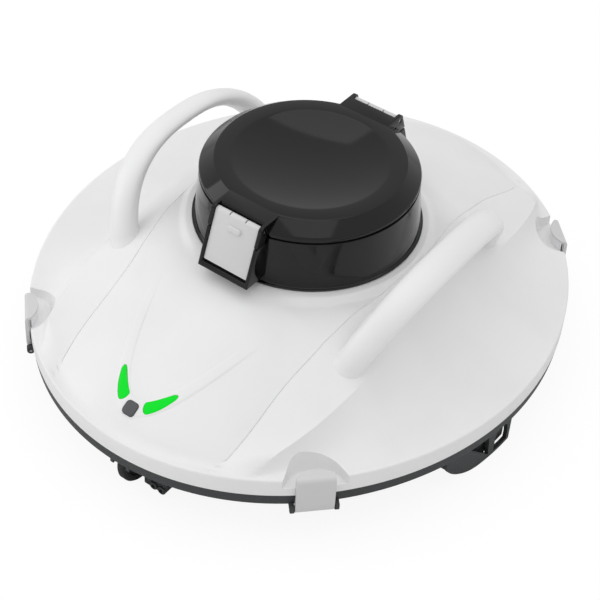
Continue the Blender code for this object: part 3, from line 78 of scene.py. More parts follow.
# small helpers

def selectOnly(*objs):
    if bpy.context.object and bpy.context.object.mode != "OBJECT":
        bpy.ops.object.mode_set(mode="OBJECT")
    bpy.ops.object.select_all(action="DESELECT")
    for obj in objs:
        obj.select_set(True)
    bpy.context.view_layer.objects.active = objs[0]


def applyAll(obj):
    selectOnly(obj)
    for modifier in list(obj.modifiers):
        bpy.ops.object.modifier_apply(modifier=modifier.name)


def editAll(obj):
    selectOnly(obj)
    bpy.ops.object.mode_set(mode="EDIT")
    bpy.ops.mesh.select_all(action="SELECT")


def closeUp(obj):
    # doubles merged, then the normals turned outward
    editAll(obj)
    bpy.ops.mesh.remove_doubles(threshold=1e-6)
    bpy.ops.mesh.normals_make_consistent(inside=False)
    bpy.ops.object.mode_set(mode="OBJECT")


def smooth(obj, degrees):
    selectOnly(obj)
    bpy.ops.object.shade_smooth_by_angle(angle=math.radians(degrees), keep_sharp_edges=False)
    return obj


def mappedGrid(name, cols, rows, place):
    # grid primitive whose corners are carried to place(column, row)
    bpy.ops.mesh.primitive_grid_add(x_subdivisions=cols, y_subdivisions=rows, size=1)
    obj = bpy.context.object
    obj.name = name
    for vertex in obj.data.vertices:
        column = round((vertex.co.x + 0.5) * cols)
        row = round((vertex.co.y + 0.5) * rows)
        vertex.co = place(column, row)
    closeUp(obj)
    return obj


def loft(name, rings):
    # closed body through equal rings, its two ends drawn in to their middles
    count = len(rings[0])
    ends = [sum((Vector(p) for p in rings[k]), Vector()) / count for k in (0, -1)]

    def place(column, row):
        if row == 0:
            return ends[0]
        if row == len(rings) + 1:
            return ends[1]
        return rings[row - 1][column % count]

    return mappedGrid(name, count, len(rings) + 1, place)


def slab(name, outline, low, high, toWorld):
    # outline filled and pulled out: toWorld(a, b, c) places outline (a, b) at depth c
    mesh = bpy.data.meshes.new(name)
    mesh.from_pydata([toWorld(a, b, low) for a, b in outline], [], [list(range(len(outline)))])
    obj = linked(name, mesh)
    editAll(obj)
    move = Vector(toWorld(0, 0, high)) - Vector(toWorld(0, 0, low))
    bpy.ops.mesh.extrude_region_move(TRANSFORM_OT_translate={"value": move})
    bpy.ops.mesh.select_all(action="SELECT")
    bpy.ops.mesh.normals_make_consistent(inside=False)
    bpy.ops.object.mode_set(mode="OBJECT")
    return obj


def spun(name, profile, steps, axis=(0, 0, 1), centre=(0, 0, 0)):
    # profile of (radius, height) points turned round an axis
    axis = Vector(axis).normalized()
    side = axis.orthogonal().normalized()
    mesh = bpy.data.meshes.new(name)
    points = [Vector(centre) + side * radius + axis * height for radius, height in profile]
    mesh.from_pydata(points, [(i, i + 1) for i in range(len(points) - 1)], [])
    obj = linked(name, mesh)
    editAll(obj)
    bpy.ops.mesh.spin(steps=steps, angle=math.tau, center=centre, axis=axis)
    bpy.ops.object.mode_set(mode="OBJECT")
    closeUp(obj)
    return obj


def bevelled(obj, width, segments=3, degrees=50):
    bevel = obj.modifiers.new("edge", "BEVEL")
    bevel.width = width
    bevel.segments = segments
    bevel.limit_method = "ANGLE"
    bevel.angle_limit = math.radians(degrees)
    applyAll(obj)
    return obj


def combine(obj, tool, operation):
    # both are closed, and the tool is used up
    step = obj.modifiers.new(operation.lower(), "BOOLEAN")
    step.operation = operation
    step.solver = "MANIFOLD"
    step.object = tool
    applyAll(obj)
    bpy.data.objects.remove(tool)
    return obj


def cut(obj, tool):
    return combine(obj, tool, "DIFFERENCE")


def weld(obj, tool):
    return combine(obj, tool, "UNION")


def joined(name, *objs):
    selectOnly(*objs)
    bpy.ops.object.join()
    objs[0].name = name
    return objs[0]


def arcPoints(centre, radius, start, end, steps):
    # start and end in degrees
    turns = [math.radians(start + (end - start) * i / steps) for i in range(steps + 1)]
    return [(centre[0] + radius * math.cos(t), centre[1] + radius * math.sin(t)) for t in turns]


def roundedSquare(half, radius):
    points = []
    for sx, sy, start in ((1, 1, 0), (-1, 1, 90), (-1, -1, 180), (1, -1, 270)):
        corner = (sx * (half - radius), sy * (half - radius))
        points += arcPoints(corner, radius, start, start + 90, 8)
    return points


def ease(low, high, value):
    # 0 below low, 1 above high, smooth between
    t = min(max((value - low) / (high - low), 0), 1)
    return t * t * (3 - 2 * t)


# the oval skin, by the same law as the CAD shell

rim = {"halfLength": 0.2122, "halfWidth": 0.1897, "fullness": 0.0048, "bottom": 0.0420, "top": 0.0565,
       "wall": 0.0028, "levelFrom": 0.93}
spine = {"flat": 0.085, "top": 0.1095, "power": 1.35, "seatHeight": 0.1099, "seatRadius": 0.086,
         "seatBlend": 0.006}
seam = {"mid": 0.088, "waist": 0.0135, "waistAt": 0.66, "tuckFrom": 0.7, "tuckRate": 0.8, "tuck": 0.19,
        "dropSide": 0.004, "dropEnd": 0.0155, "dropFrom": 0.24, "dropTo": 0.5,
        "half": 0.00042, "depth": 0.0008, "fadeFrom": 0.955, "fadeTo": 0.975}
crease = {"mid": 0.113, "pull": 0.009, "bend": 4.5, "height": 0.086, "fall": 0.014, "flank": 1.2,
          "scoop": 3.0}
diagonal = 0.707 * rim["halfLength"]


def rimRadius(phi):
    # phi runs from the front (-Y) towards +X
    mean = (rim["halfLength"] + rim["halfWidth"]) / 2 / (1 + rim["fullness"])
    oval = (rim["halfLength"] - rim["halfWidth"]) / 2 / mean
    return mean * (1 + oval * math.cos(2 * phi) + rim["fullness"] * math.cos(4 * phi))


def polar(phi, radius, z=0.0):
    return Vector((radius * math.sin(phi), -radius * math.cos(phi), z))


def spineHeight(y):
    t = min(max((abs(y) - spine["flat"]) / (rim["halfLength"] - spine["flat"]), 0), 1)
    return rim["top"] + (spine["top"] - rim["top"]) * (1 - t ** spine["power"])


def seamX(y):
    tuck = max(abs(y) / rim["halfLength"] - seam["tuckFrom"], 0) * seam["tuckRate"]
    waist = seam["waist"] * ease(0, seam["waistAt"] * rim["halfLength"], abs(y))
    return seam["mid"] - waist - seam["tuck"] * tuck ** 2


def seamDrop(y):
    share = ease(seam["dropFrom"] * rim["halfLength"], seam["dropTo"] * rim["halfLength"], abs(y))
    return seam["dropSide"] + (seam["dropEnd"] - seam["dropSide"]) * share


def creaseX(y):
    return crease["mid"] - crease["pull"] * (abs(y) / diagonal) ** crease["bend"]


def creaseHeight(y):
    return crease["height"] - crease["fall"] * (y / diagonal) ** 2


def crossing(phi, line):
    # radius at which the ray at phi crosses the line x = line(y), by halving
    low, high = 0.03, rimRadius(phi) * 1.02
    for _ in range(26):
        middle = (low + high) / 2
        if abs(middle * math.sin(phi)) < line(middle * math.cos(phi)):
            low = middle
        else:
            high = middle
    return low


def panelHeight(x, y):
    # spine panel between the seams, then the flank down to the crease
    edge = seamX(y)
    seamZ = spineHeight(y) - seamDrop(y)
    if abs(x) <= edge:
        return spineHeight(y) - seamDrop(y) * (x / edge) ** 2
    share = (abs(x) - edge) / (creaseX(y) - edge)
    return seamZ - (seamZ - creaseHeight(y)) * share ** crease["flank"]


def skinHeight(x, y, edge=None):
    # past the crease the wing is scooped down to the rim; the box stands on a level seat
    radius = math.hypot(x, y)
    phi = math.atan2(x, -y)
    reach = rimRadius(phi)
    if edge is None:
        edge = crossing(phi, creaseX)
    if radius < edge:
        z = panelHeight(x, y)
    else:
        corner = polar(phi, edge)
        share = min((radius - edge) / max(reach - edge, 1e-6), 1)
        z = rim["top"] + (panelHeight(corner.x, corner.y) - rim["top"]) * (1 - share) ** crease["scoop"]
    z = rim["top"] + (z - rim["top"]) * (1 - ease(rim["levelFrom"], 1, radius / reach))
    level = 1 - ease(spine["seatRadius"], spine["seatRadius"] + spine["seatBlend"], radius)
    return z + (spine["seatHeight"] - z) * level


def skinNormal(x, y):
    step = 0.001
    dx = skinHeight(x + step, y) - skinHeight(x - step, y)
    dy = skinHeight(x, y + step) - skinHeight(x, y - step)
    return Vector((-dx, -dy, 2 * step)).normalized()


# white shell

shell = {"name": "shellSkin", "columns": 400, "opening": 0.0774, "seatEdge": 0.081, "edgeRound": 0.0012,
         "hold": 0.962, "spineRows": 22, "flankRows": 18, "wingRows": 40, "insideRows": 24}
notch = {"foot": (0.0190, 0.0140), "mouth": (0.0196, 0.0190), "flare": 0.0024, "flareReach": 0.009,
         "opening": 0.58, "round": 0.9, "floor": 0.0490, "shoulder": 0.0600, "top": 0.1, "wall": 0.0024,
         "steps": 40, "levels": 8, "crowding": 1.6, "lap": 0.0008}
clipSeat = {"half": 0.0120, "depth": 0.0058, "top": 0.0570}
clipAngles = [math.radians(a) for a in (38.8, 180 - 38.8, 180 + 38.8, 360 - 38.8)]
clipNames = ("front_right", "rear_right", "rear_left", "front_left")


def grooveDepth(x, y):
    # thin parting line along the seam, fading out just before the rim
    away = abs(abs(x) - seamX(y)) / seam["half"]
    if away >= 1:
        return 0
    fade = ease(seam["fadeFrom"], seam["fadeTo"], abs(y) / rim["halfLength"])
    return seam["depth"] * (1 - away ** 2) * (1 - fade)


def shellColumn(phi):
    # outer face from the box opening to the rim, down the band and back underneath
    reach = rimRadius(phi)
    creaseAt = crossing(phi, creaseX)
    seat = spine["seatRadius"]

    def seamAt(offset):
        return crossing(phi, lambda y: seamX(y) + offset)

    # five rows across the seam groove, kept in order where seam and crease run out
    hold = shell["hold"] * reach
    marks = [min(max(seamAt(offset * seam["half"]), seat + 0.0035), hold - 0.004)
             for offset in (-1, -0.5, 0, 0.5, 1)]
    radii = [shell["opening"], shell["seatEdge"], seat]
    radii += [seat + (marks[0] - seat) * i / shell["spineRows"] for i in range(1, shell["spineRows"])]
    radii += [mark + 1e-5 * i for i, mark in enumerate(marks)]
    bend = min(max(creaseAt, radii[-1] + 0.003), hold)
    flank = shell["flankRows"]
    radii += [radii[-1] + (bend - radii[-1]) * i / flank for i in range(1, flank + 1)]
    bend = radii[-1]
    last = reach - shell["edgeRound"]
    wing = shell["wingRows"]
    radii += [bend + (last - bend) * (i / wing) ** 1.15 for i in range(1, wing + 1)]
    points = []
    for radius in radii:
        spot = polar(phi, radius)
        z = skinHeight(spot.x, spot.y, creaseAt) - grooveDepth(spot.x, spot.y)
        points.append(polar(phi, radius, z))
    rounding = shell["edgeRound"]
    for turn in (30, 60, 90):
        angle = math.radians(turn)
        points.append(polar(phi, last + rounding * math.sin(angle),
                            rim["top"] - rounding * (1 - math.cos(angle))))
    points.append(polar(phi, reach, rim["bottom"] + 0.0004))
    points.append(polar(phi, reach - 0.0004, rim["bottom"]))
    points.append(polar(phi, reach - rim["wall"], rim["bottom"]))
    inside = [reach - rim["wall"]]
    rows = shell["insideRows"]
    inside += [last + (shell["opening"] - last) * i / rows for i in range(1, rows + 1)]
    for radius in inside:
        spot = polar(phi, radius)
        points.append(polar(phi, radius, skinHeight(spot.x, spot.y, creaseAt) - rim["wall"]))
    return points


def clipFrame(index):
    # X out of the rim, Y along it, Z up, standing on the rim at a clip
    phi = clipAngles[index]
    step = 0.02
    along = polar(phi + step, rimRadius(phi + step)) - polar(phi - step, rimRadius(phi - step))
    along.normalize()
    outward = along.cross(Vector((0, 0, 1)))
    turned = Matrix((outward, along, Vector((0, 0, 1)))).transposed().to_4x4()
    return Matrix.Translation(polar(phi, rimRadius(phi))) @ turned


def behindRim(place, inward, across):
    # inward is counted from the curved rim, not from the clip's straight Y
    spot = place @ Vector((0, across, 0))
    beyond = math.hypot(spot.x, spot.y) - rimRadius(math.atan2(spot.x, -spot.y))
    return place @ Vector((-inward - beyond, across, 0))


def notchArch(grow, z):
    # arch in plan at height z, narrow on the floor: (across, inward) pairs
    rise = min(max((z - notch["floor"]) / (notch["shoulder"] - notch["floor"]), 0), 1)
    share = rise ** notch["opening"]
    half, depth = (foot + (mouth - foot) * share + grow
                   for foot, mouth in zip(notch["foot"], notch["mouth"]))
    points = []
    for i in range(notch["steps"] + 1):
        angle = math.pi * i / notch["steps"]
        across = math.copysign(abs(math.cos(angle)) ** notch["round"], math.cos(angle)) * half
        inward = depth * max(math.sin(angle), 0) ** notch["round"]
        across += math.copysign(notch["flare"] * max(1 - inward / notch["flareReach"], 0) ** 2, across)
        points.append((across, inward))
    return points


def notchHeights(count):
    # levels from the floor to the shoulder, closer near the floor, and one above the skin
    rise = notch["shoulder"] - notch["floor"]
    levels = [notch["floor"] + rise * (i / count) ** notch["crowding"] for i in range(count + 1)]
    return [*levels, notch["top"]]


def notchLiner(index):
    # wall round the hollow, kept under the skin; the cutter then opens its inner side
    place = clipFrame(index)
    heights = notchHeights(notch["levels"])
    top = len(heights) - 1

    def dropAt(outer, level):
        if level == top:
            return 0
        if not outer:
            return -0.0004
        return notch["wall"] if level == 0 else 0.0009

    def ring(grow, level):
        outer = grow > 0
        edge = rim["wall"] * (0.5 if outer else 1.2)
        points = []
        for i, pair in enumerate(notchArch(grow, heights[level])):
            spot = behindRim(place, max(pair[1], edge), pair[0])
            ceiling = skinHeight(spot.x, spot.y) - 0.2 * rim["wall"] - 0.0003 * (top - level)
            z = min(heights[level], ceiling)
            across, inward = notchArch(grow, z)[i]
            spot = behindRim(place, max(inward, edge), across)
            points.append((spot.x, spot.y, z - dropAt(outer, level)))
        return points

    rings = [ring(notch["wall"], level) for level in range(top + 1)]
    rings += [ring(-notch["lap"], level) for level in range(top, -1, -1)]
    return loft(f"liner{index}", rings)


def notchCutter(index):
    place = clipFrame(index)
    rings = []
    outside = -0.006
    for z in notchHeights(notch["levels"] + 2):
        arch = notchArch(0, z)
        arch += [(arch[-1][0], outside), (arch[0][0], outside)]
        flat = [behindRim(place, inward, across) for across, inward in arch]
        rings.append([(spot.x, spot.y, z) for spot in flat])
    return loft(f"notchTool{index}", rings)


def clipCrescent(half, depth, steps):
    # (inward, across) pairs of the clip's rounded top edge
    pairs = []
    shallow = 0.0010
    for i in range(steps + 1):
        across = half * (2 * i / steps - 1)
        pairs.append((shallow + (depth - shallow) * (1 - (across / half) ** 2), across))
    return pairs


def seatBlock(index):
    place = clipFrame(index)
    outline = []
    for inward, across in clipCrescent(clipSeat["half"], clipSeat["depth"], 24):
        spot = behindRim(place, inward, across)
        outline.append((spot.x, spot.y))
    low = notch["floor"] - 0.0012
    return slab(f"seatBlock{index}", outline, low, clipSeat["top"], lambda a, b, c: (a, b, c))


columns = [shellColumn(math.tau * i / shell["columns"]) for i in range(shell["columns"])]
skin = mappedGrid(shell["name"], shell["columns"], len(columns[0]),
                  lambda i, j: columns[i % shell["columns"]][j % len(columns[0])])
for index in range(4):
    weld(skin, notchLiner(index))
    cut(skin, notchCutter(index))
    weld(skin, seatBlock(index))
print("shell skin", len(skin.data.polygons))


# raised V, its lenses and the key

vee = {"tipY": -0.1910, "length": 0.0910, "spread": 0.0490, "half": 0.0055, "raise": 0.00075}
lens = {"start": 0.0080, "end": 0.0228, "half": 0.0037, "gap": 0.0003, "proud": 0.0011, "deep": 0.0038}
key = {"y": -0.1922, "side": 0.0096, "corner": 0.0026, "proud": 0.0014, "deep": 0.0034, "gap": 0.0003}


def veePoint(x):
    return Vector((x, vee["tipY"] + vee["length"] * (x / vee["spread"]) ** 2, 0))


def veeRings(xs, halfAt, lifts):
    # cross sections along the V: lifts holds (share of the half width, height over the skin)
    rings = []
    for x in xs:
        here = veePoint(x)
        ahead = (veePoint(x + 1e-4) - veePoint(x - 1e-4)).normalized()
        across = Vector((-ahead.y, ahead.x, 0))
        ring = []
        for share, lift in lifts(x):
            spot = here + across * share * halfAt(x)
            ring.append((spot.x, spot.y, skinHeight(spot.x, spot.y) + lift))
        rings.append(ring)
    return rings


def bandLifts(x):
    fade = 1 - ease(0.72, 1, abs(x) / vee["spread"])
    top = []
    for s in range(-10, 11):
        edge = abs(s / 10) ** 5
        top.append((s / 10, vee["raise"] * fade * (1 - edge) - 0.0004 * edge))
    return top + [(1, -0.0012), (0, -0.0014), (-1, -0.0012)]


def bandHalf(x):
    # widest at the tip of the V
    return vee["half"] * (1.08 - 0.40 * abs(x) / vee["spread"])


def lensSections(side, grow, low, high):
    # tapered leaf with rounded ends, from low to high over the skin
    start, end = lens["start"] - grow, lens["end"] + grow
    xs = [start + (end - start) * (1 - math.cos(math.pi * i / 28)) / 2 for i in range(1, 28)]

    def halfAt(x):
        t = (abs(x) - start) / (end - start)
        body = lens["half"] * (1 - 0.66 * max(t, 0) ** 2.2) + grow
        return body * (1 - max(1 - t / 0.14, 0) ** 2) ** 0.5 * (1 - max(1 - (1 - t) / 0.10, 0) ** 2) ** 0.5

    def lifts(x):
        top = [(s / 6, high - 0.0003 * abs(s / 6) ** 3) for s in range(-6, 7)]
        return top + [(1, low), (0, low), (-1, low)]

    return veeRings([side * x for x in xs], halfAt, lifts)


def keySlab(name, grow, bottom, top):
    centre = Vector((0, key["y"], skinHeight(0, key["y"])))
    out = skinNormal(0, key["y"])
    across = Vector((1, 0, 0))
    up = out.cross(across).normalized()
    half = key["side"] / 2 + grow
    outline = roundedSquare(half, key["corner"] + grow)
    return slab(name, outline, bottom, top, lambda a, b, c: centre + across * a + up * b + out * c)


band = loft("veeBand", veeRings([vee["spread"] * s / 60 for s in range(-60, 61)], bandHalf, bandLifts))
for side in (-1, 1):
    for target in (band, skin):
        cut(target, loft("lensTool", lensSections(side, lens["gap"], -0.0045, 0.004)))
for target in (band, skin):
    cut(target, keySlab("keyTool", key["gap"], -0.009, 0.006))
lensRight = smooth(loft("lensRight", lensSections(1, 0, -lens["deep"], lens["proud"])), 40)
lensLeft = smooth(loft("lensLeft", lensSections(-1, 0, -lens["deep"], lens["proud"])), 40)
powerKey = smooth(bevelled(keySlab("powerKey", 0, -key["deep"], key["proud"]), 0.0006), 40)
smooth(skin, 32)
smooth(band, 40)
print("front light")


# grab handles

grip = {"halfSpan": 0.0882, "footZ": 0.0486, "rise": 0.0908, "footX": 0.0833, "lean": 0.388, "power": 0.787,
        "foot": 0.0103, "halves": (0.0115, 0.0054), "swell": 2.56, "tilt": math.radians(16.2),
        "fillet": 0.0030, "spread": 0.0011, "start": 0.06, "rings": 120}


def gripPoint(t):
    # middle of the bar from the front foot (t = 0) to the rear one, and how near it is to a foot
    angle = math.pi * t
    along = -math.copysign(abs(math.cos(angle)) ** grip["power"], math.cos(angle))
    rise = max(math.sin(angle), 0) ** grip["power"] * grip["rise"]
    spot = Vector((grip["footX"] + grip["lean"] * rise, grip["halfSpan"] * along, grip["footZ"] + rise))
    return spot, abs(along)


def gripRings(side):
    # round at the feet, flat and tilted at the top, spreading a little where it meets the skin
    tilted = Vector((math.cos(grip["tilt"]), 0, -math.sin(grip["tilt"])))
    rings = []
    for i in range(grip["rings"] + 1):
        t = grip["start"] + (1 - 2 * grip["start"]) * i / grip["rings"]
        point, along = gripPoint(t)
        wide, thick = (top + (grip["foot"] - top) * along ** grip["swell"] for top in grip["halves"])
        ahead = (gripPoint(t + 0.002)[0] - gripPoint(t - 0.002)[0]).normalized()
        across = (tilted - ahead * tilted.dot(ahead)).normalized()
        other = ahead.cross(across)
        ring = []
        for k in range(48):
            angle = math.tau * k / 48
            out = across * (wide * math.cos(angle)) + other * (thick * math.sin(angle))
            spot = point + out
            above = spot.z - skinHeight(spot.x, spot.y)
            spread = max(1 - max(above, 0) / grip["fillet"], 0) ** 2 * grip["spread"]
            spot += out.normalized() * spread
            ring.append((spot.x * side, spot.y, spot.z))
        rings.append(ring)
    return rings


handleRight = smooth(loft("gripRight", gripRings(1)), 60)
handleLeft = smooth(loft("gripLeft", gripRings(-1)), 60)
print("handles")


# motor box

drum = {"lip": 0.1102, "top": 0.1500, "lipRadius": 0.0823, "lipHeight": 0.0016, "foot": 0.0802,
        "rimRadius": 0.0775, "lower": 0.0768, "wall": 0.0030, "floor": 0.0600, "shaftHole": 0.0080}
cap = {"split": 0.1503, "skirtTop": 0.1529, "top": 0.1606, "ring": 0.0676, "dish": 0.0557, "deep": 0.0070,
       "wall": 0.0026}
latch = {"half": 0.0180, "pivot": (-0.0797, 0.1563), "barrel": 0.0028, "reach": 0.0350, "longer": 0.0016,
         "lean": math.radians(19.4), "thick": 0.0030, "pin": 0.0012, "gap": 0.0003, "cheek": 0.0027}
surround = {"top": 0.1455, "proud": 0.0012, "below": 0.0038, "room": 0.0006, "inside": 0.006,
            "earBottom": 0.1468, "earRound": 0.0036}
socket = {"z": 0.1330, "hole": 0.0072}


def latchFace(z, proud=0.0):
    # Y of the leaning front latch's outer face at height z
    y0, z0 = latch["pivot"]
    return y0 - latch["barrel"] / math.cos(latch["lean"]) + (z - z0) * math.tan(latch["lean"]) - proud


def sideways(flip):
    # outline (y, z) pulled along x: flip is 1 at the front and -1 for the same piece at the rear
    return lambda a, b, c: Vector((flip * c, flip * a, b))


def rodTool(start, end, radius, steps=32):
    start, end = Vector(start), Vector(end)
    bpy.ops.mesh.primitive_cylinder_add(vertices=steps, radius=radius, depth=(end - start).length)
    rod = bpy.context.object
    turn = (end - start).to_track_quat("Z", "Y").to_matrix().to_4x4()
    rod.data.transform(Matrix.Translation((start + end) / 2) @ turn)
    return rod


def drumProfile():
    # floor, wall, lip over the shell, wall again, neck under the cap, and back down inside
    lip, top, inner = drum["lip"], drum["top"], drum["lower"] - drum["wall"]
    over = lip + drum["lipHeight"]
    points = [(drum["shaftHole"], drum["floor"]), (drum["lower"], drum["floor"]), (drum["lower"], lip)]
    points += [(drum["lipRadius"] - 0.0004, lip)]
    points += arcPoints((drum["lipRadius"] - 0.0007, over - 0.0007), 0.0007, 0, 90, 5)
    points += arcPoints((drum["foot"] + 0.0012, over + 0.0012), 0.0011, 265, 185, 6)
    points += [(drum["foot"], over + 0.0040), (drum["rimRadius"], top - 0.0026)]
    points += arcPoints((drum["rimRadius"] - 0.0004, top - 0.0024), 0.0004, 0, 90, 3)
    neck, inside, deck = drum["rimRadius"] - 0.0012, inner - 0.003, drum["floor"] + drum["wall"]
    points += [(neck, top - 0.0019), (neck, top), (inside, top), (inside, top - 0.004)]
    points += [(inner, top - 0.007), (inner, deck), (drum["shaftHole"], deck)]
    points += [(drum["shaftHole"], drum["floor"])]
    return points


def capProfile():
    # dish, flat annulus, chamfered ring, skirt, and back to the middle underneath
    ball = (cap["dish"] ** 2 + cap["deep"] ** 2) / (2 * cap["deep"])
    top, ring, split, skirt = cap["top"], cap["ring"], cap["split"], drum["rimRadius"]

    def dishZ(radius):
        return top - cap["deep"] + ball - math.sqrt(ball ** 2 - radius ** 2)

    radii = [cap["dish"] * i / 30 for i in range(30)]
    points = [(r, dishZ(r)) for r in radii]
    points += [(cap["dish"] - 0.0003, dishZ(cap["dish"] - 0.0003)), (cap["dish"] + 0.0004, top)]
    points += [(ring - 0.0012, top), (ring - 0.0004, top - 0.00015), (ring, top - 0.0005)]
    points += [(skirt - 0.0010, cap["skirtTop"] + 0.0008), (skirt - 0.0003, cap["skirtTop"] + 0.0001)]
    points += [(skirt, cap["skirtTop"] - 0.0006), (skirt, split + 0.0003), (skirt - 0.0003, split)]
    points += [(skirt - 0.0027, split), (skirt - 0.0029, split + 0.002), (ring - 0.0002, top - cap["wall"])]
    points += [(r * 0.98, dishZ(r) - cap["wall"]) for r in radii[::-6]]
    points += [(0, dishZ(0) - cap["wall"])]
    return points


def latchBlock(name, outline, room, flip):
    # block across the latch with a cheek at each end, less the room the latch turns in
    half = latch["half"] + latch["gap"]
    block = slab(name, outline, -half - latch["cheek"], half + latch["cheek"], sideways(flip))
    return cut(block, slab("room", room, -half, half, sideways(flip)))


def latchBore(obj, flip):
    y, z = flip * latch["pivot"][0], latch["pivot"][1]
    cut(obj, rodTool((-0.03, y, z), (0.03, y, z), latch["pin"] + latch["gap"]))


def surroundFrame(flip):
    foot, proud = latch["pivot"][1] - latch["reach"], surround["proud"]
    low, high, wallY = foot - surround["below"], surround["top"], surround["inside"] - drum["rimRadius"]
    outline = [(wallY, high), (latchFace(high, proud), high), (latchFace(low, proud), low), (wallY, low)]
    low, high, back = foot - surround["room"], cap["split"], latch["thick"] + surround["room"]
    room = [(latchFace(high, -back), high), (latchFace(high, 0.02), high),
            (latchFace(low, 0.02), low), (latchFace(low, -back), low)]
    return bevelled(latchBlock("surround", outline, room, flip), 0.0005)


def capEars(flip):
    # from the flat annulus, a hair over it, round the nose and down to the skirt
    nose = latchFace(latch["pivot"][1], 0.0008)
    turn, low, split = surround["earRound"], surround["earBottom"], cap["split"]
    inner, skirt = 0.004 - cap["ring"], -drum["rimRadius"]
    outline = [(inner, cap["top"] + 0.00012)]
    outline += arcPoints((nose + turn, cap["top"] + 0.00012 - turn), turn, 90, 180, 12)
    outline += [(latchFace(low, surround["proud"]), low), (skirt - 0.0020, low), (skirt - 0.0006, split)]
    outline += [(skirt + 0.0013, split), (skirt + 0.0020, split + 0.003), (inner, split + 0.0045)]
    back, over, under = latch["pivot"][0] + latch["barrel"] + 0.0004, cap["top"] + 0.001, low - 0.0028
    room = [(back + 0.0015, over), (back - 0.03, over), (back - 0.03, under), (back, under),
            (back, cap["top"] - 0.0012)]
    block = latchBlock("ears", outline, room, flip)
    latchBore(block, flip)
    return bevelled(block, 0.0004)


box = spun("motorBox", drumProfile(), 160)
socketEnds = [(x, 0, socket["z"]) for x in (-0.06, -0.1)]
cut(box, rodTool(*socketEnds, socket["hole"], 48))
box = joined("motorBox", box, surroundFrame(1), surroundFrame(-1))
lid = spun("motorBoxLid", capProfile(), 160)
lid = joined("motorBoxLid", lid, capEars(1), capEars(-1))
smooth(box, 32)
smooth(lid, 28)

tab = {"halfX": 0.0036, "drop": 0.0071, "round": 0.0021, "under": 0.0008, "proud": 0.0019}
slit = {"x": 0.0066, "half": 0.0005, "top": -0.0036, "bottom": -0.0008, "front": 0.004, "back": -0.009}


def latchPanel(name, flip):
    y0, z0 = latch["pivot"]
    down = Vector((0, -math.sin(latch["lean"]), -math.cos(latch["lean"])))
    out = Vector((0, -math.cos(latch["lean"]), math.sin(latch["lean"])))

    def spot(drop, proud):
        point = Vector((0, y0, z0)) + down * drop + out * (latch["barrel"] + proud)
        return (point.y, point.z)

    def onFace(a, b, c):
        y, z = spot(b, c)
        return Vector((flip * a, flip * y, z))

    lean, end = math.degrees(latch["lean"]), latch["reach"] + latch["longer"]
    outline = arcPoints((y0, z0), latch["barrel"], -25 - lean, 180 - lean, 24)
    outline += [spot(end, 0), spot(end, -latch["thick"]), spot(0.004, -latch["thick"])]
    panel = slab(name, outline, -latch["half"], latch["half"], sideways(flip))
    # two short slits in the rounded top edge
    gap = [spot(slit["top"], slit["front"]), spot(slit["top"], slit["back"]),
           spot(slit["bottom"], slit["back"]), spot(slit["bottom"], slit["front"])]
    for x in (-slit["x"], slit["x"]):
        cut(panel, slab("gapTool", gap, x - slit["half"], x + slit["half"], sideways(flip)))
    latchBore(panel, flip)
    bevelled(panel, 0.0005)
    ends = arcPoints((tab["halfX"], tab["drop"]), tab["round"], -90, 90, 14)
    ends += arcPoints((-tab["halfX"], tab["drop"]), tab["round"], 90, 270, 14)
    thumb = bevelled(slab("tab", ends, -tab["under"], tab["proud"], onFace), 0.0009, 4)
    return smooth(joined(name, panel, thumb), 40)


latchFront, latchRear = latchPanel("latchFrontPanel", 1), latchPanel("latchRearPanel", -1)

# cap of the charging socket: (radius, distance outward) from the inner end of its stem
plug = {"points": [(0, 0), (0.0038, 0), (0.0038, 0.0065), (0.0086, 0.0065), (0.0090, 0.0069),
                   (0.0090, 0.0078), (0.0086, 0.0084), (0.0078, 0.0088), (0.0030, 0.0090), (0, 0.0090)]}
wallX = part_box("charge_cap")[1][0]
chargePlug = smooth(spun("chargePlug", plug["points"], 64, (-1, 0, 0), (wallX, 0, socket["z"])), 40)
print("motor box")


# rim clips

clip = {"half": 0.0130, "out": 0.0006, "z": 0.0297, "barrel": 0.0022, "pin": 0.0011, "gap": 0.0003,
        "reach": 0.0064}


def clipRings():
    # one clip in its own frame: barrel, outer face, bent-over hook and back down behind
    out, low = clip["out"], clip["z"]
    face, hook = out + clip["barrel"], clipSeat["top"] + 0.0003
    rings = []
    for reach, across in clipCrescent(clip["half"], clip["reach"], 36):
        outline = arcPoints((out, low), clip["barrel"], 130, 355, 20)
        outline += [(face + 0.0004, low + 0.006), (face + 0.0004, low + 0.012)]
        outline += [(face + 0.0002, hook - 0.0045)]
        outline += arcPoints((face - 0.0032, hook - 0.0013), 0.0032, 5, 85, 10)
        outline += [(-reach, hook + 0.0019), (-reach - 0.0004, hook + 0.0014)]
        outline += [(-reach - 0.0004, hook + 0.0004), (-reach, hook)]
        outline += [(0.0004, hook), (0.0005, low + clip["barrel"] + 0.0028)]
        rings.append([(a, across, z) for a, z in outline])
    return rings


clipModel = loft("rimClipModel", clipRings())
clipPinEnds = [(clip["out"], y, clip["z"]) for y in (-0.03, 0.03)]
cut(clipModel, rodTool(*clipPinEnds, clip["pin"] + clip["gap"]))
bevelled(clipModel, 0.0005, 3, 60)
smooth(clipModel, 40)
clips = []
for index in range(4):
    copy = linked(f"rimClip{index}", clipModel.data.copy())
    copy.data.transform(clipFrame(index))
    clips.append(copy)
bpy.data.objects.remove(clipModel)
print("clips")


# dark tray

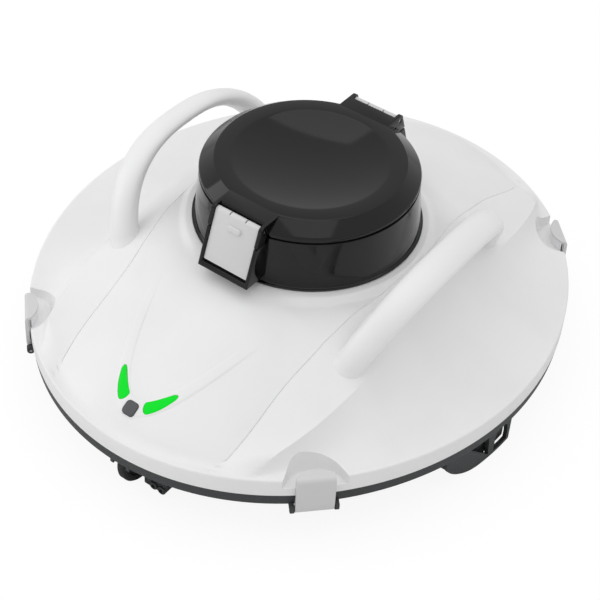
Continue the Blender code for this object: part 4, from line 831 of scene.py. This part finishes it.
tray = {"inset": 0.0009, "top": 0.0417, "edge": 0.0322, "edgeRound": 0.0016, "belly": 0.0160,
        "bellyInset": 0.06, "wall": 0.0026, "tongueInset": 0.0040, "tongueTop": 0.0462}
inlet = {"y": 0.1, "halfX": 0.04, "halfY": 0.01, "wall": 0.002, "mouth": 0.007, "top": 0.0215}
lug = {"out": 0.004, "behind": 0.005, "over": 0.0013, "halfX": 0.0012, "halfY": 0.0022, "cover": 0.003,
       "bore": 0.0015}
endWheel = {"radius": 0.0225, "width": 0.0070, "x": 0.0030, "y": 0.1860}
sideWheel = {"radius": 0.0220, "width": 0.0100, "x": 0.1665, "y": -0.0300}
well = {"gap": 0.0020, "wall": 0.0026, "bottom": 0.012, "cut": (0.0065, 0.035), "cutTop": 0.0262,
        "bore": 0.0025, "boreHalf": 0.02}
guard = {"inset": 0.0052, "wall": 0.0030, "front": -0.070, "corner": -0.035, "rear": -0.001, "top": 0.0284,
         "bottom": 0.0015}
prong = {"gap": 0.0004, "half": 0.0015, "radius": 0.0027, "pinHalf": 0.0185}
wheelSpots = (("front_wheel", (endWheel["x"], -endWheel["y"]), endWheel),
              ("rear_wheel", (-endWheel["x"], endWheel["y"]), endWheel),
              ("side_wheel_right", (sideWheel["x"], sideWheel["y"]), sideWheel),
              ("side_wheel_left", (-sideWheel["x"], sideWheel["y"]), sideWheel))


def ovalRing(inset, z, count=240):
    return [polar(math.tau * i / count, rimRadius(math.tau * i / count) - inset, z) for i in range(count)]


def blockTool(low, high):
    outline = [(low[0], low[1]), (high[0], low[1]), (high[0], high[1]), (low[0], high[1])]
    return slab("block", outline, low[2], high[2], lambda a, b, c: Vector((a, b, c)))


def trayBody():
    # (inset from the rim, height) pairs: outer face down to the belly, then the inner face back up
    inset, wall, turn = tray["inset"], tray["wall"], tray["edgeRound"]
    low = tray["edge"] + turn
    outer = [(inset, tray["top"]), (inset, low)]
    outer += [(inset + turn - turn * math.cos(t), low - turn * math.sin(t)) for t in (0.3, 0.7, 1.1, 1.5)]
    outer += [(0.0058, 0.0298), (0.0072, 0.0290), (0.0210, 0.0250), (0.0350, 0.0208), (0.0480, 0.0180)]
    outer += [(tray["bellyInset"], tray["belly"])]
    inner = [(tray["bellyInset"], tray["belly"] + wall), (0.0350, 0.0208 + wall), (0.0080, 0.0292 + wall)]
    inner += [(0.0060, 0.0345 + wall), (0.0060, tray["tongueTop"]), (tray["tongueInset"], tray["tongueTop"])]
    inner += [(tray["tongueInset"], tray["top"])]
    return loft("trayBody", [ovalRing(*pair) for pair in (*reversed(outer), *reversed(inner))])


def trayWheelWell(body, centre, kind):
    x, y = centre

    def room(grow, low):
        halfX = kind["width"] / 2 + well["gap"] + grow
        halfY = kind["radius"] + well["gap"] + grow
        high = 2 * kind["radius"] + well["gap"] + grow
        return blockTool((x - halfX, y - halfY, low), (x + halfX, y + halfY, high))

    walls = room(well["wall"], well["bottom"])
    keep = tray["inset"] + tray["wall"] if kind is endWheel else guard["inset"] + guard["wall"] + 0.0003
    combine(walls, loft("keep", [ovalRing(keep, 0), ovalRing(keep, 0.2)]), "INTERSECT")
    weld(body, walls)
    cut(body, room(0, -0.01))
    if kind is endWheel:
        # outward of the axle its walls start higher up
        near, far = sorted(y + math.copysign(1, y) * reach for reach in well["cut"])
        halfX = kind["width"] / 2 + well["gap"] + well["wall"] + 0.001
        cut(body, blockTool((x - halfX, near, -0.01), (x + halfX, far, well["cutTop"])))
    ends = [(x + half, y, kind["radius"]) for half in (-well["boreHalf"], well["boreHalf"])]
    cut(body, rodTool(*ends, well["bore"]))


def trayInlet(body, side):
    y, halfX, halfY, wall = side * inlet["y"], inlet["halfX"], inlet["halfY"], inlet["wall"]
    low = (-halfX - wall, y - halfY - wall, inlet["mouth"])
    high = (halfX + wall, y + halfY + wall, inlet["top"])
    weld(body, bevelled(blockTool(low, high), 0.0004, 2))
    cut(body, blockTool((-halfX, y - halfY, -0.01), (halfX, y + halfY, 0.05)))
    lugY, lugZ = side * (inlet["y"] + halfY + lug["behind"]), inlet["top"] + lug["over"]
    for x in (-halfX - lug["out"], halfX + lug["out"]):
        low = (x - lug["halfX"], lugY - lug["halfY"], tray["belly"] + 0.001)
        ear = blockTool(low, (x + lug["halfX"], lugY + lug["halfY"], lugZ + lug["cover"]))
        bore = rodTool((x - 0.01, lugY, lugZ), (x + 0.01, lugY, lugZ), lug["bore"])
        weld(body, cut(ear, bore))


def trayProngs(body, index):
    place = clipFrame(index)

    def alongRim(a, b, c):
        return place @ Vector((a, c, b))

    out, low, half = clip["out"], clip["z"], prong["half"]
    outline = [(-0.0075, 0.0345), (-0.0062, 0.0292), *arcPoints((out, low), prong["radius"], 215, 360, 16)]
    outline += [(out + prong["radius"], 0.0330), (-tray["inset"] - 0.0004, 0.0345)]
    for side in (-1, 1):
        centre = side * (clip["half"] + prong["gap"] + half)
        made = slab("prong", outline, centre - half, centre + half, alongRim)
        weld(body, bevelled(made, 0.0004, 2))
    ends = [place @ Vector((out, side * prong["pinHalf"], low)) for side in (-1, 1)]
    cut(body, rodTool(*ends, clip["pin"] + clip["gap"]))


trayPiece = trayBody()
for side in (-1, 1):
    trayInlet(trayPiece, side)
for name, centre, kind in wheelSpots:
    trayWheelWell(trayPiece, centre, kind)
for index in range(4):
    trayProngs(trayPiece, index)
smooth(trayPiece, 32)
print("tray")


# wheels, their brackets and the side guards

spoke = {"count": 5, "at": 0.0112, "radius": 0.0028}


def wheelProfile(kind):
    # one face from the bore to the tread, mirrored for the other
    radius, half = kind["radius"], kind["width"] / 2
    points = [(well["bore"], -half), (0.0052, -half), (0.0058, -half + 0.0004), (0.0064, -half + 0.0012)]
    points += [(radius - 0.0056, -half + 0.0012), (radius - 0.0050, -half + 0.0004)]
    points += [(radius - 0.0020, -half), (radius - 0.0008, -half + 0.0006)]
    points += [(radius - 0.0002, -half + 0.0014)]
    points += [(r, -x) for r, x in points[8::-1]]
    return points + [points[0]]


def wheelPiece(name, centre, kind):
    hub = Vector((centre[0], centre[1], kind["radius"]))
    made = spun(name, wheelProfile(kind), 96, (1, 0, 0), hub)
    reach = Vector((0.02, 0, 0))
    for i in range(spoke["count"]):
        turn = math.tau * i / spoke["count"]
        spot = hub + Vector((0, math.cos(turn), math.sin(turn))) * spoke["at"]
        cut(made, rodTool(spot - reach, spot + reach, spoke["radius"], 24))
    return smooth(made, 35)


wheelPieces = {name: wheelPiece(name + "Tyre", centre, kind) for name, centre, kind in wheelSpots}

bracket = {"top": 0.0195, "bottom": 0.0030, "outer": 0.0315, "corner": 0.0100, "front": 0.008, "back": 0.010,
           "bosses": (0.0205, 0.0275), "bossUp": 0.004, "bossOut": 0.0095, "bossRadius": 0.0033,
           "bossBore": 0.0014}


def endBracket(name, flip):
    # arm beside the end wheel, with two bosses on its outer face
    inner = endWheel["x"] + endWheel["width"] / 2 + well["gap"] + well["wall"] + 0.0003
    turn, low, y = bracket["corner"], bracket["bottom"], -endWheel["y"]
    outline = [(inner, bracket["top"]), (inner, low)]
    outline += arcPoints((bracket["outer"] - turn, low + turn), turn, 270, 360, 16)
    outline += [(bracket["outer"], bracket["top"])]

    def lengthways(a, b, c):
        return Vector((flip * a, flip * c, b))

    block = slab(name, outline, y - bracket["front"], y + bracket["back"], lengthways)
    bevelled(block, 0.0007)
    for x in bracket["bosses"]:
        up, start = low + bracket["bossUp"], y - bracket["bossOut"]
        boss = rodTool(lengthways(x, up, start), lengthways(x, up, y), bracket["bossRadius"], 40)
        weld(block, bevelled(boss, 0.0006, 3))
        ends = lengthways(x, up, start - 0.001), lengthways(x, up, start + 0.003)
        cut(block, rodTool(*ends, bracket["bossBore"], 24))
    return smooth(block, 35)


windows = {"front": [(-0.0480, 0.0262), (-0.0285, 0.0262), (-0.0265, 0.0060)],
           "rear": [(-0.0205, 0.0050), *arcPoints((-0.0130, 0.0170), 0.0075, 180, 20, 20),
                    (-0.0045, 0.0120), (-0.0045, 0.0050)]}
# thin dark sheet set behind the guard windows: painted shade for the depth seen through them
windowShadeSheet = {"behind": 0.0023, "wall": 0.0010, "lift": 0.0006}


def guardLow(y):
    # lower edge: level at the rear, rising in a quarter oval to the front
    if y >= guard["corner"]:
        return guard["bottom"]
    share = (guard["corner"] - y) / (guard["corner"] - guard["front"])
    return guard["top"] - (guard["top"] - guard["bottom"]) * math.sqrt(max(1 - share ** 2, 0))


def rimX(y, inset):
    # X of the rim, less the inset, at a given Y, by halving
    low, high = math.radians(40), math.radians(140)
    for _ in range(30):
        middle = (low + high) / 2
        if polar(middle, rimRadius(middle) - inset).y < y:
            low = middle
        else:
            high = middle
    return polar(low, rimRadius(low) - inset).x


def guardPlate(name, side, inset, wall, lift):
    rings = []
    top, front = guard["top"], guard["front"] + 0.001
    edge = min(0.0008, wall / 3)
    for i in range(61):
        y = front + (guard["rear"] - front) * (i / 60) ** 1.3
        outer, inner = rimX(y, inset), rimX(y, inset + wall)
        low = min(guardLow(y) + lift, top - 0.002)
        corners = [(outer, top), (outer, low + edge), (outer - edge, low), (inner + edge, low),
                   (inner, low + edge), (inner, top)]
        rings.append([(side * x, y, z) for x, z in corners])
    return loft(name, rings)


def sideGuard(name, side):
    # plate under the rim with two windows, and a thin dark sheet behind them that paints the shade in the
    # windows' depth
    plate = guardPlate(name, side, guard["inset"], guard["wall"], 0)
    for outline in windows.values():
        tool = slab("windowTool", outline, 0.15, 0.2, lambda a, b, c: Vector((side * c, a, b)))
        cut(plate, tool)
    # dark sheet behind the windows, painted shade standing in for their depth
    behind = guard["inset"] + guard["wall"] + windowShadeSheet["behind"]
    back = guardPlate("windowShadeSheet", side, behind, windowShadeSheet["wall"], windowShadeSheet["lift"])
    return smooth(joined(name, plate, back), 30)


bracketFront, bracketRear = endBracket("bracketFront", 1), endBracket("bracketRear", -1)
guardRight, guardLeft = sideGuard("guardRight", 1), sideGuard("guardLeft", -1)
print("running gear")


# materials

def hexToLinear(text):
    values = [int(text[i:i + 2], 16) / 255 for i in (1, 3, 5)]
    return [v / 12.92 if v <= 0.04045 else ((v + 0.055) / 1.055) ** 2.4 for v in values]


def newMaterial(name):
    made = bpy.data.materials.new(name)
    made.use_nodes = True
    made.node_tree.nodes.clear()
    return made


def addNode(owner, kind, inputs=None):
    # owner is a material or the world; an input is a value or another node's output
    node = owner.node_tree.nodes.new("ShaderNode" + kind)
    for name, value in (inputs or {}).items():
        if isinstance(value, bpy.types.NodeSocket):
            owner.node_tree.links.new(value, node.inputs[name])
        else:
            node.inputs[name].default_value = value
    return node


def moulded(name, colour, roughness, grainScale, bump, depth, **shader):
    # moulded plastic or metal: slow colour drift, fine grain in the gloss and a slight surface texture
    made = newMaterial(name)
    place = addNode(made, "TexCoord").outputs["Object"]
    drift = addNode(made, "TexNoise", {"Vector": place, "Scale": 14, "Detail": 3})
    ramp = addNode(made, "ValToRGB", {"Fac": drift.outputs["Fac"]})
    for stop, position, shade in zip(ramp.color_ramp.elements, (0.35, 0.65), colour):
        stop.position = position
        stop.color = (*hexToLinear(shade), 1)
    grain = addNode(made, "TexNoise", {"Vector": place, "Scale": grainScale, "Detail": 4, "Roughness": 0.6})
    gloss = addNode(made, "MapRange", {
        "Value": grain.outputs["Fac"], "From Min": 0.3, "From Max": 0.7,
        "To Min": roughness[0], "To Max": roughness[1]})
    relief = addNode(made, "Bump", {"Height": grain.outputs["Fac"], "Strength": bump, "Distance": depth})
    surface = addNode(made, "BsdfPrincipled", {
        "Base Color": ramp.outputs["Color"], "Roughness": gloss.outputs["Result"],
        "Normal": relief.outputs["Normal"], **shader})
    addNode(made, "OutputMaterial", {"Surface": surface.outputs["BSDF"]})
    return made


# white ABS: satin shell that takes a soft sheen, faint moulding texture about half a millimetre wide
whiteAbs = moulded("whiteAbs", colour=("#E9E9EA", "#EEEEEE"), roughness=(0.36, 0.44), grainScale=1800,
                   bump=0.06, depth=0.0002, IOR=1.53)
# smoother white for the latches and clips, a shade greyer
panelAbs = moulded("panelAbs", colour=("#CFCFD0", "#D5D5D6"), roughness=(0.30, 0.38), grainScale=1500,
                   bump=0.05, depth=0.0002, IOR=1.53)
# polished black ABS: mirror-like, with a trace of polishing haze
blackAbs = moulded("polishedBlackAbs", colour=("#060607", "#09090A"), roughness=(0.06, 0.10), grainScale=300,
                   bump=0.01, depth=0.0001, IOR=1.42)
# spark-eroded dark grey polypropylene: even, slightly rough
greyPp = moulded("texturedGreyPp", colour=("#2B2D2F", "#313335"), roughness=(0.42, 0.56), grainScale=2200,
                 bump=0.25, depth=0.0003, IOR=1.5)
# moulded rubber: dull black with a soft bloom
rubber = moulded("mouldedRubber", colour=("#121213", "#19191A"), roughness=(0.62, 0.8), grainScale=900,
                 bump=0.2, depth=0.0003, IOR=1.52)
# drawn stainless rod: bright and lightly grained
steel = moulded("drawnSteel", colour=("#A8A9AB", "#BDBEC0"), roughness=(0.22, 0.34), grainScale=700,
                bump=0.08, depth=0.0001, Metallic=1)
# glass-fibre board under green lacquer
board = moulded("boardLacquer", colour=("#1A5A33", "#216A3E"), roughness=(0.25, 0.4), grainScale=1200,
                bump=0.1, depth=0.0001, IOR=1.55)
# shrink sleeve on the cells: blue and slightly shiny
sleeve = moulded("cellSleeve", colour=("#2C62A0", "#336CAB"), roughness=(0.3, 0.4), grainScale=500,
                 bump=0.1, depth=0.0002, IOR=1.5)
# polyester screen: pale and matt
screenCloth = moulded("screenCloth", colour=("#B9BDC2", "#C8CCD0"), roughness=(0.7, 0.85), grainScale=2500,
                      bump=0.5, depth=0.0003)
# soft-touch key: dark grey rubber
keyRubber = moulded("keyRubber", colour=("#4A4B4D", "#515254"), roughness=(0.45, 0.55), grainScale=1500,
                    bump=0.1, depth=0.0002)


def lightPipe(name):
    # green diffuser lit from behind: an even, faintly cloudy glow
    made = newMaterial(name)
    place = addNode(made, "TexCoord").outputs["Object"]
    cloud = addNode(made, "TexNoise", {"Vector": place, "Scale": 220, "Detail": 2})
    glow = addNode(made, "MapRange", {"Value": cloud.outputs["Fac"], "To Min": 0.55, "To Max": 0.66})
    shader = addNode(made, "BsdfPrincipled", {
        "Base Color": (*hexToLinear("#009A1C"), 1), "Roughness": 0.35, "IOR": 1.49,
        "Specular IOR Level": 0.15, "Emission Color": (*hexToLinear("#00E028"), 1),
        "Emission Strength": glow.outputs["Result"]})
    addNode(made, "OutputMaterial", {"Surface": shader.outputs["BSDF"]})
    return made


greenPipe = lightPipe("litGreenDiffuser")
print("materials")


# what stands for what

looks = {"white_shell": whiteAbs, "black_gloss": blackAbs, "dark_base": greyPp, "rubber": rubber,
         "steel": steel, "green_lens": greenPipe, "board": board, "cell": sleeve, "mesh": screenCloth}


def paint(obj, material):
    obj.data.materials.clear()
    obj.data.materials.append(material)


def standIn(obj, body, slotName, *nodes, material=None):
    # body it rides on, colour slot, and the CAD node it takes the place of
    paint(obj, material or looks[slotName])
    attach(obj, body)
    if nodes:
        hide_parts(*nodes)


slots = {s["node"]: s["material_slot"] for s in frame["record"]["subparts"]}
for name, obj in frame["nodes"].items():
    paint(obj, looks[slots[name]])

standIn(skin, "body", "white_shell", "top_shell")
standIn(band, "body", "white_shell")
standIn(lensRight, "body", "green_lens", "light_lens_right")
standIn(lensLeft, "body", "green_lens", "light_lens_left")
standIn(powerKey, "button", "dark_base", "power_button", material=keyRubber)
standIn(handleRight, "body", "white_shell", "handle_right")
standIn(handleLeft, "body", "white_shell", "handle_left")
standIn(box, "body", "black_gloss", "motor_box_housing")
standIn(lid, "body", "black_gloss", "motor_box_cap")
standIn(latchFront, "front_latch", "white_shell", "latch_front", material=panelAbs)
standIn(latchRear, "rear_latch", "white_shell", "latch_rear", material=panelAbs)
standIn(chargePlug, "charging_cap", "rubber", "charge_cap")
for obj, corner in zip(clips, clipNames):
    standIn(obj, "clip_" + corner, "white_shell", "rim_clip_" + corner, material=panelAbs)
standIn(trayPiece, "body", "dark_base", "base_shell")
for body, name in zip(("wheel_front", "wheel_rear", "wheel_right", "wheel_left"), wheelPieces):
    standIn(wheelPieces[name], body, "rubber", name)
standIn(bracketFront, "body", "dark_base", "front_wheel_bracket")
standIn(bracketRear, "body", "dark_base", "rear_wheel_bracket")
standIn(guardRight, "body", "dark_base", "side_guard_right")
standIn(guardLeft, "body", "dark_base", "side_guard_left")
print("pieces placed")


# studio

bpy.ops.mesh.primitive_plane_add(size=20)
studioFloor = bpy.context.object
studioFloor.name = "studioFloor"


def floorPaper():
    # white sweep: keeps the contact shadow, and reads as plain white to the camera elsewhere
    made = newMaterial("studioPaper")
    rays = addNode(made, "LightPath")
    bounce = addNode(made, "BsdfDiffuse", {"Color": (0.8, 0.8, 0.8, 1)})
    paper = addNode(made, "BsdfDiffuse", {"Color": (1, 1, 1, 1)})
    white = addNode(made, "Emission", {"Strength": 1.02})
    seen = addNode(made, "MixShader", {0: 0.12, 1: white.outputs["Emission"], 2: paper.outputs["BSDF"]})
    both = addNode(made, "MixShader", {
        0: rays.outputs["Is Camera Ray"], 1: bounce.outputs["BSDF"], 2: seen.outputs["Shader"]})
    addNode(made, "OutputMaterial", {"Surface": both.outputs["Shader"]})
    return made


studioFloor.data.materials.append(floorPaper())


def areaLight(name, location, target, size, power):
    data = bpy.data.lights.new(name, "AREA")
    data.shape = "RECTANGLE"
    data.size, data.size_y = size
    data.energy = power
    lamp = linked(name, data)
    lamp.location = location
    aim = Vector(target) - Vector(location)
    lamp.rotation_euler = aim.to_track_quat("-Z", "Y").to_euler()


areaLight("topLight", (0, 0, 2.2), (0, 0, 0.05), (2.6, 2.6), 12)
areaLight("sideLight", (-1.7, -1.0, 0.8), (0, 0, 0.05), (1.4, 1.4), 8)
world = bpy.data.worlds.new("studio")
bpy.context.scene.world = world
world.use_nodes = True
# dimmer as light than it is to the camera
rays = addNode(world, "LightPath")
level = addNode(world, "MapRange", {"Value": rays.outputs["Is Camera Ray"], "To Min": 0.74})
air = world.node_tree.nodes["Background"]
air.inputs["Color"].default_value = (1, 1, 1, 1)
world.node_tree.links.new(level.outputs["Result"], air.inputs["Strength"])
bpy.context.scene.view_settings.view_transform = "Standard"
print("studio")
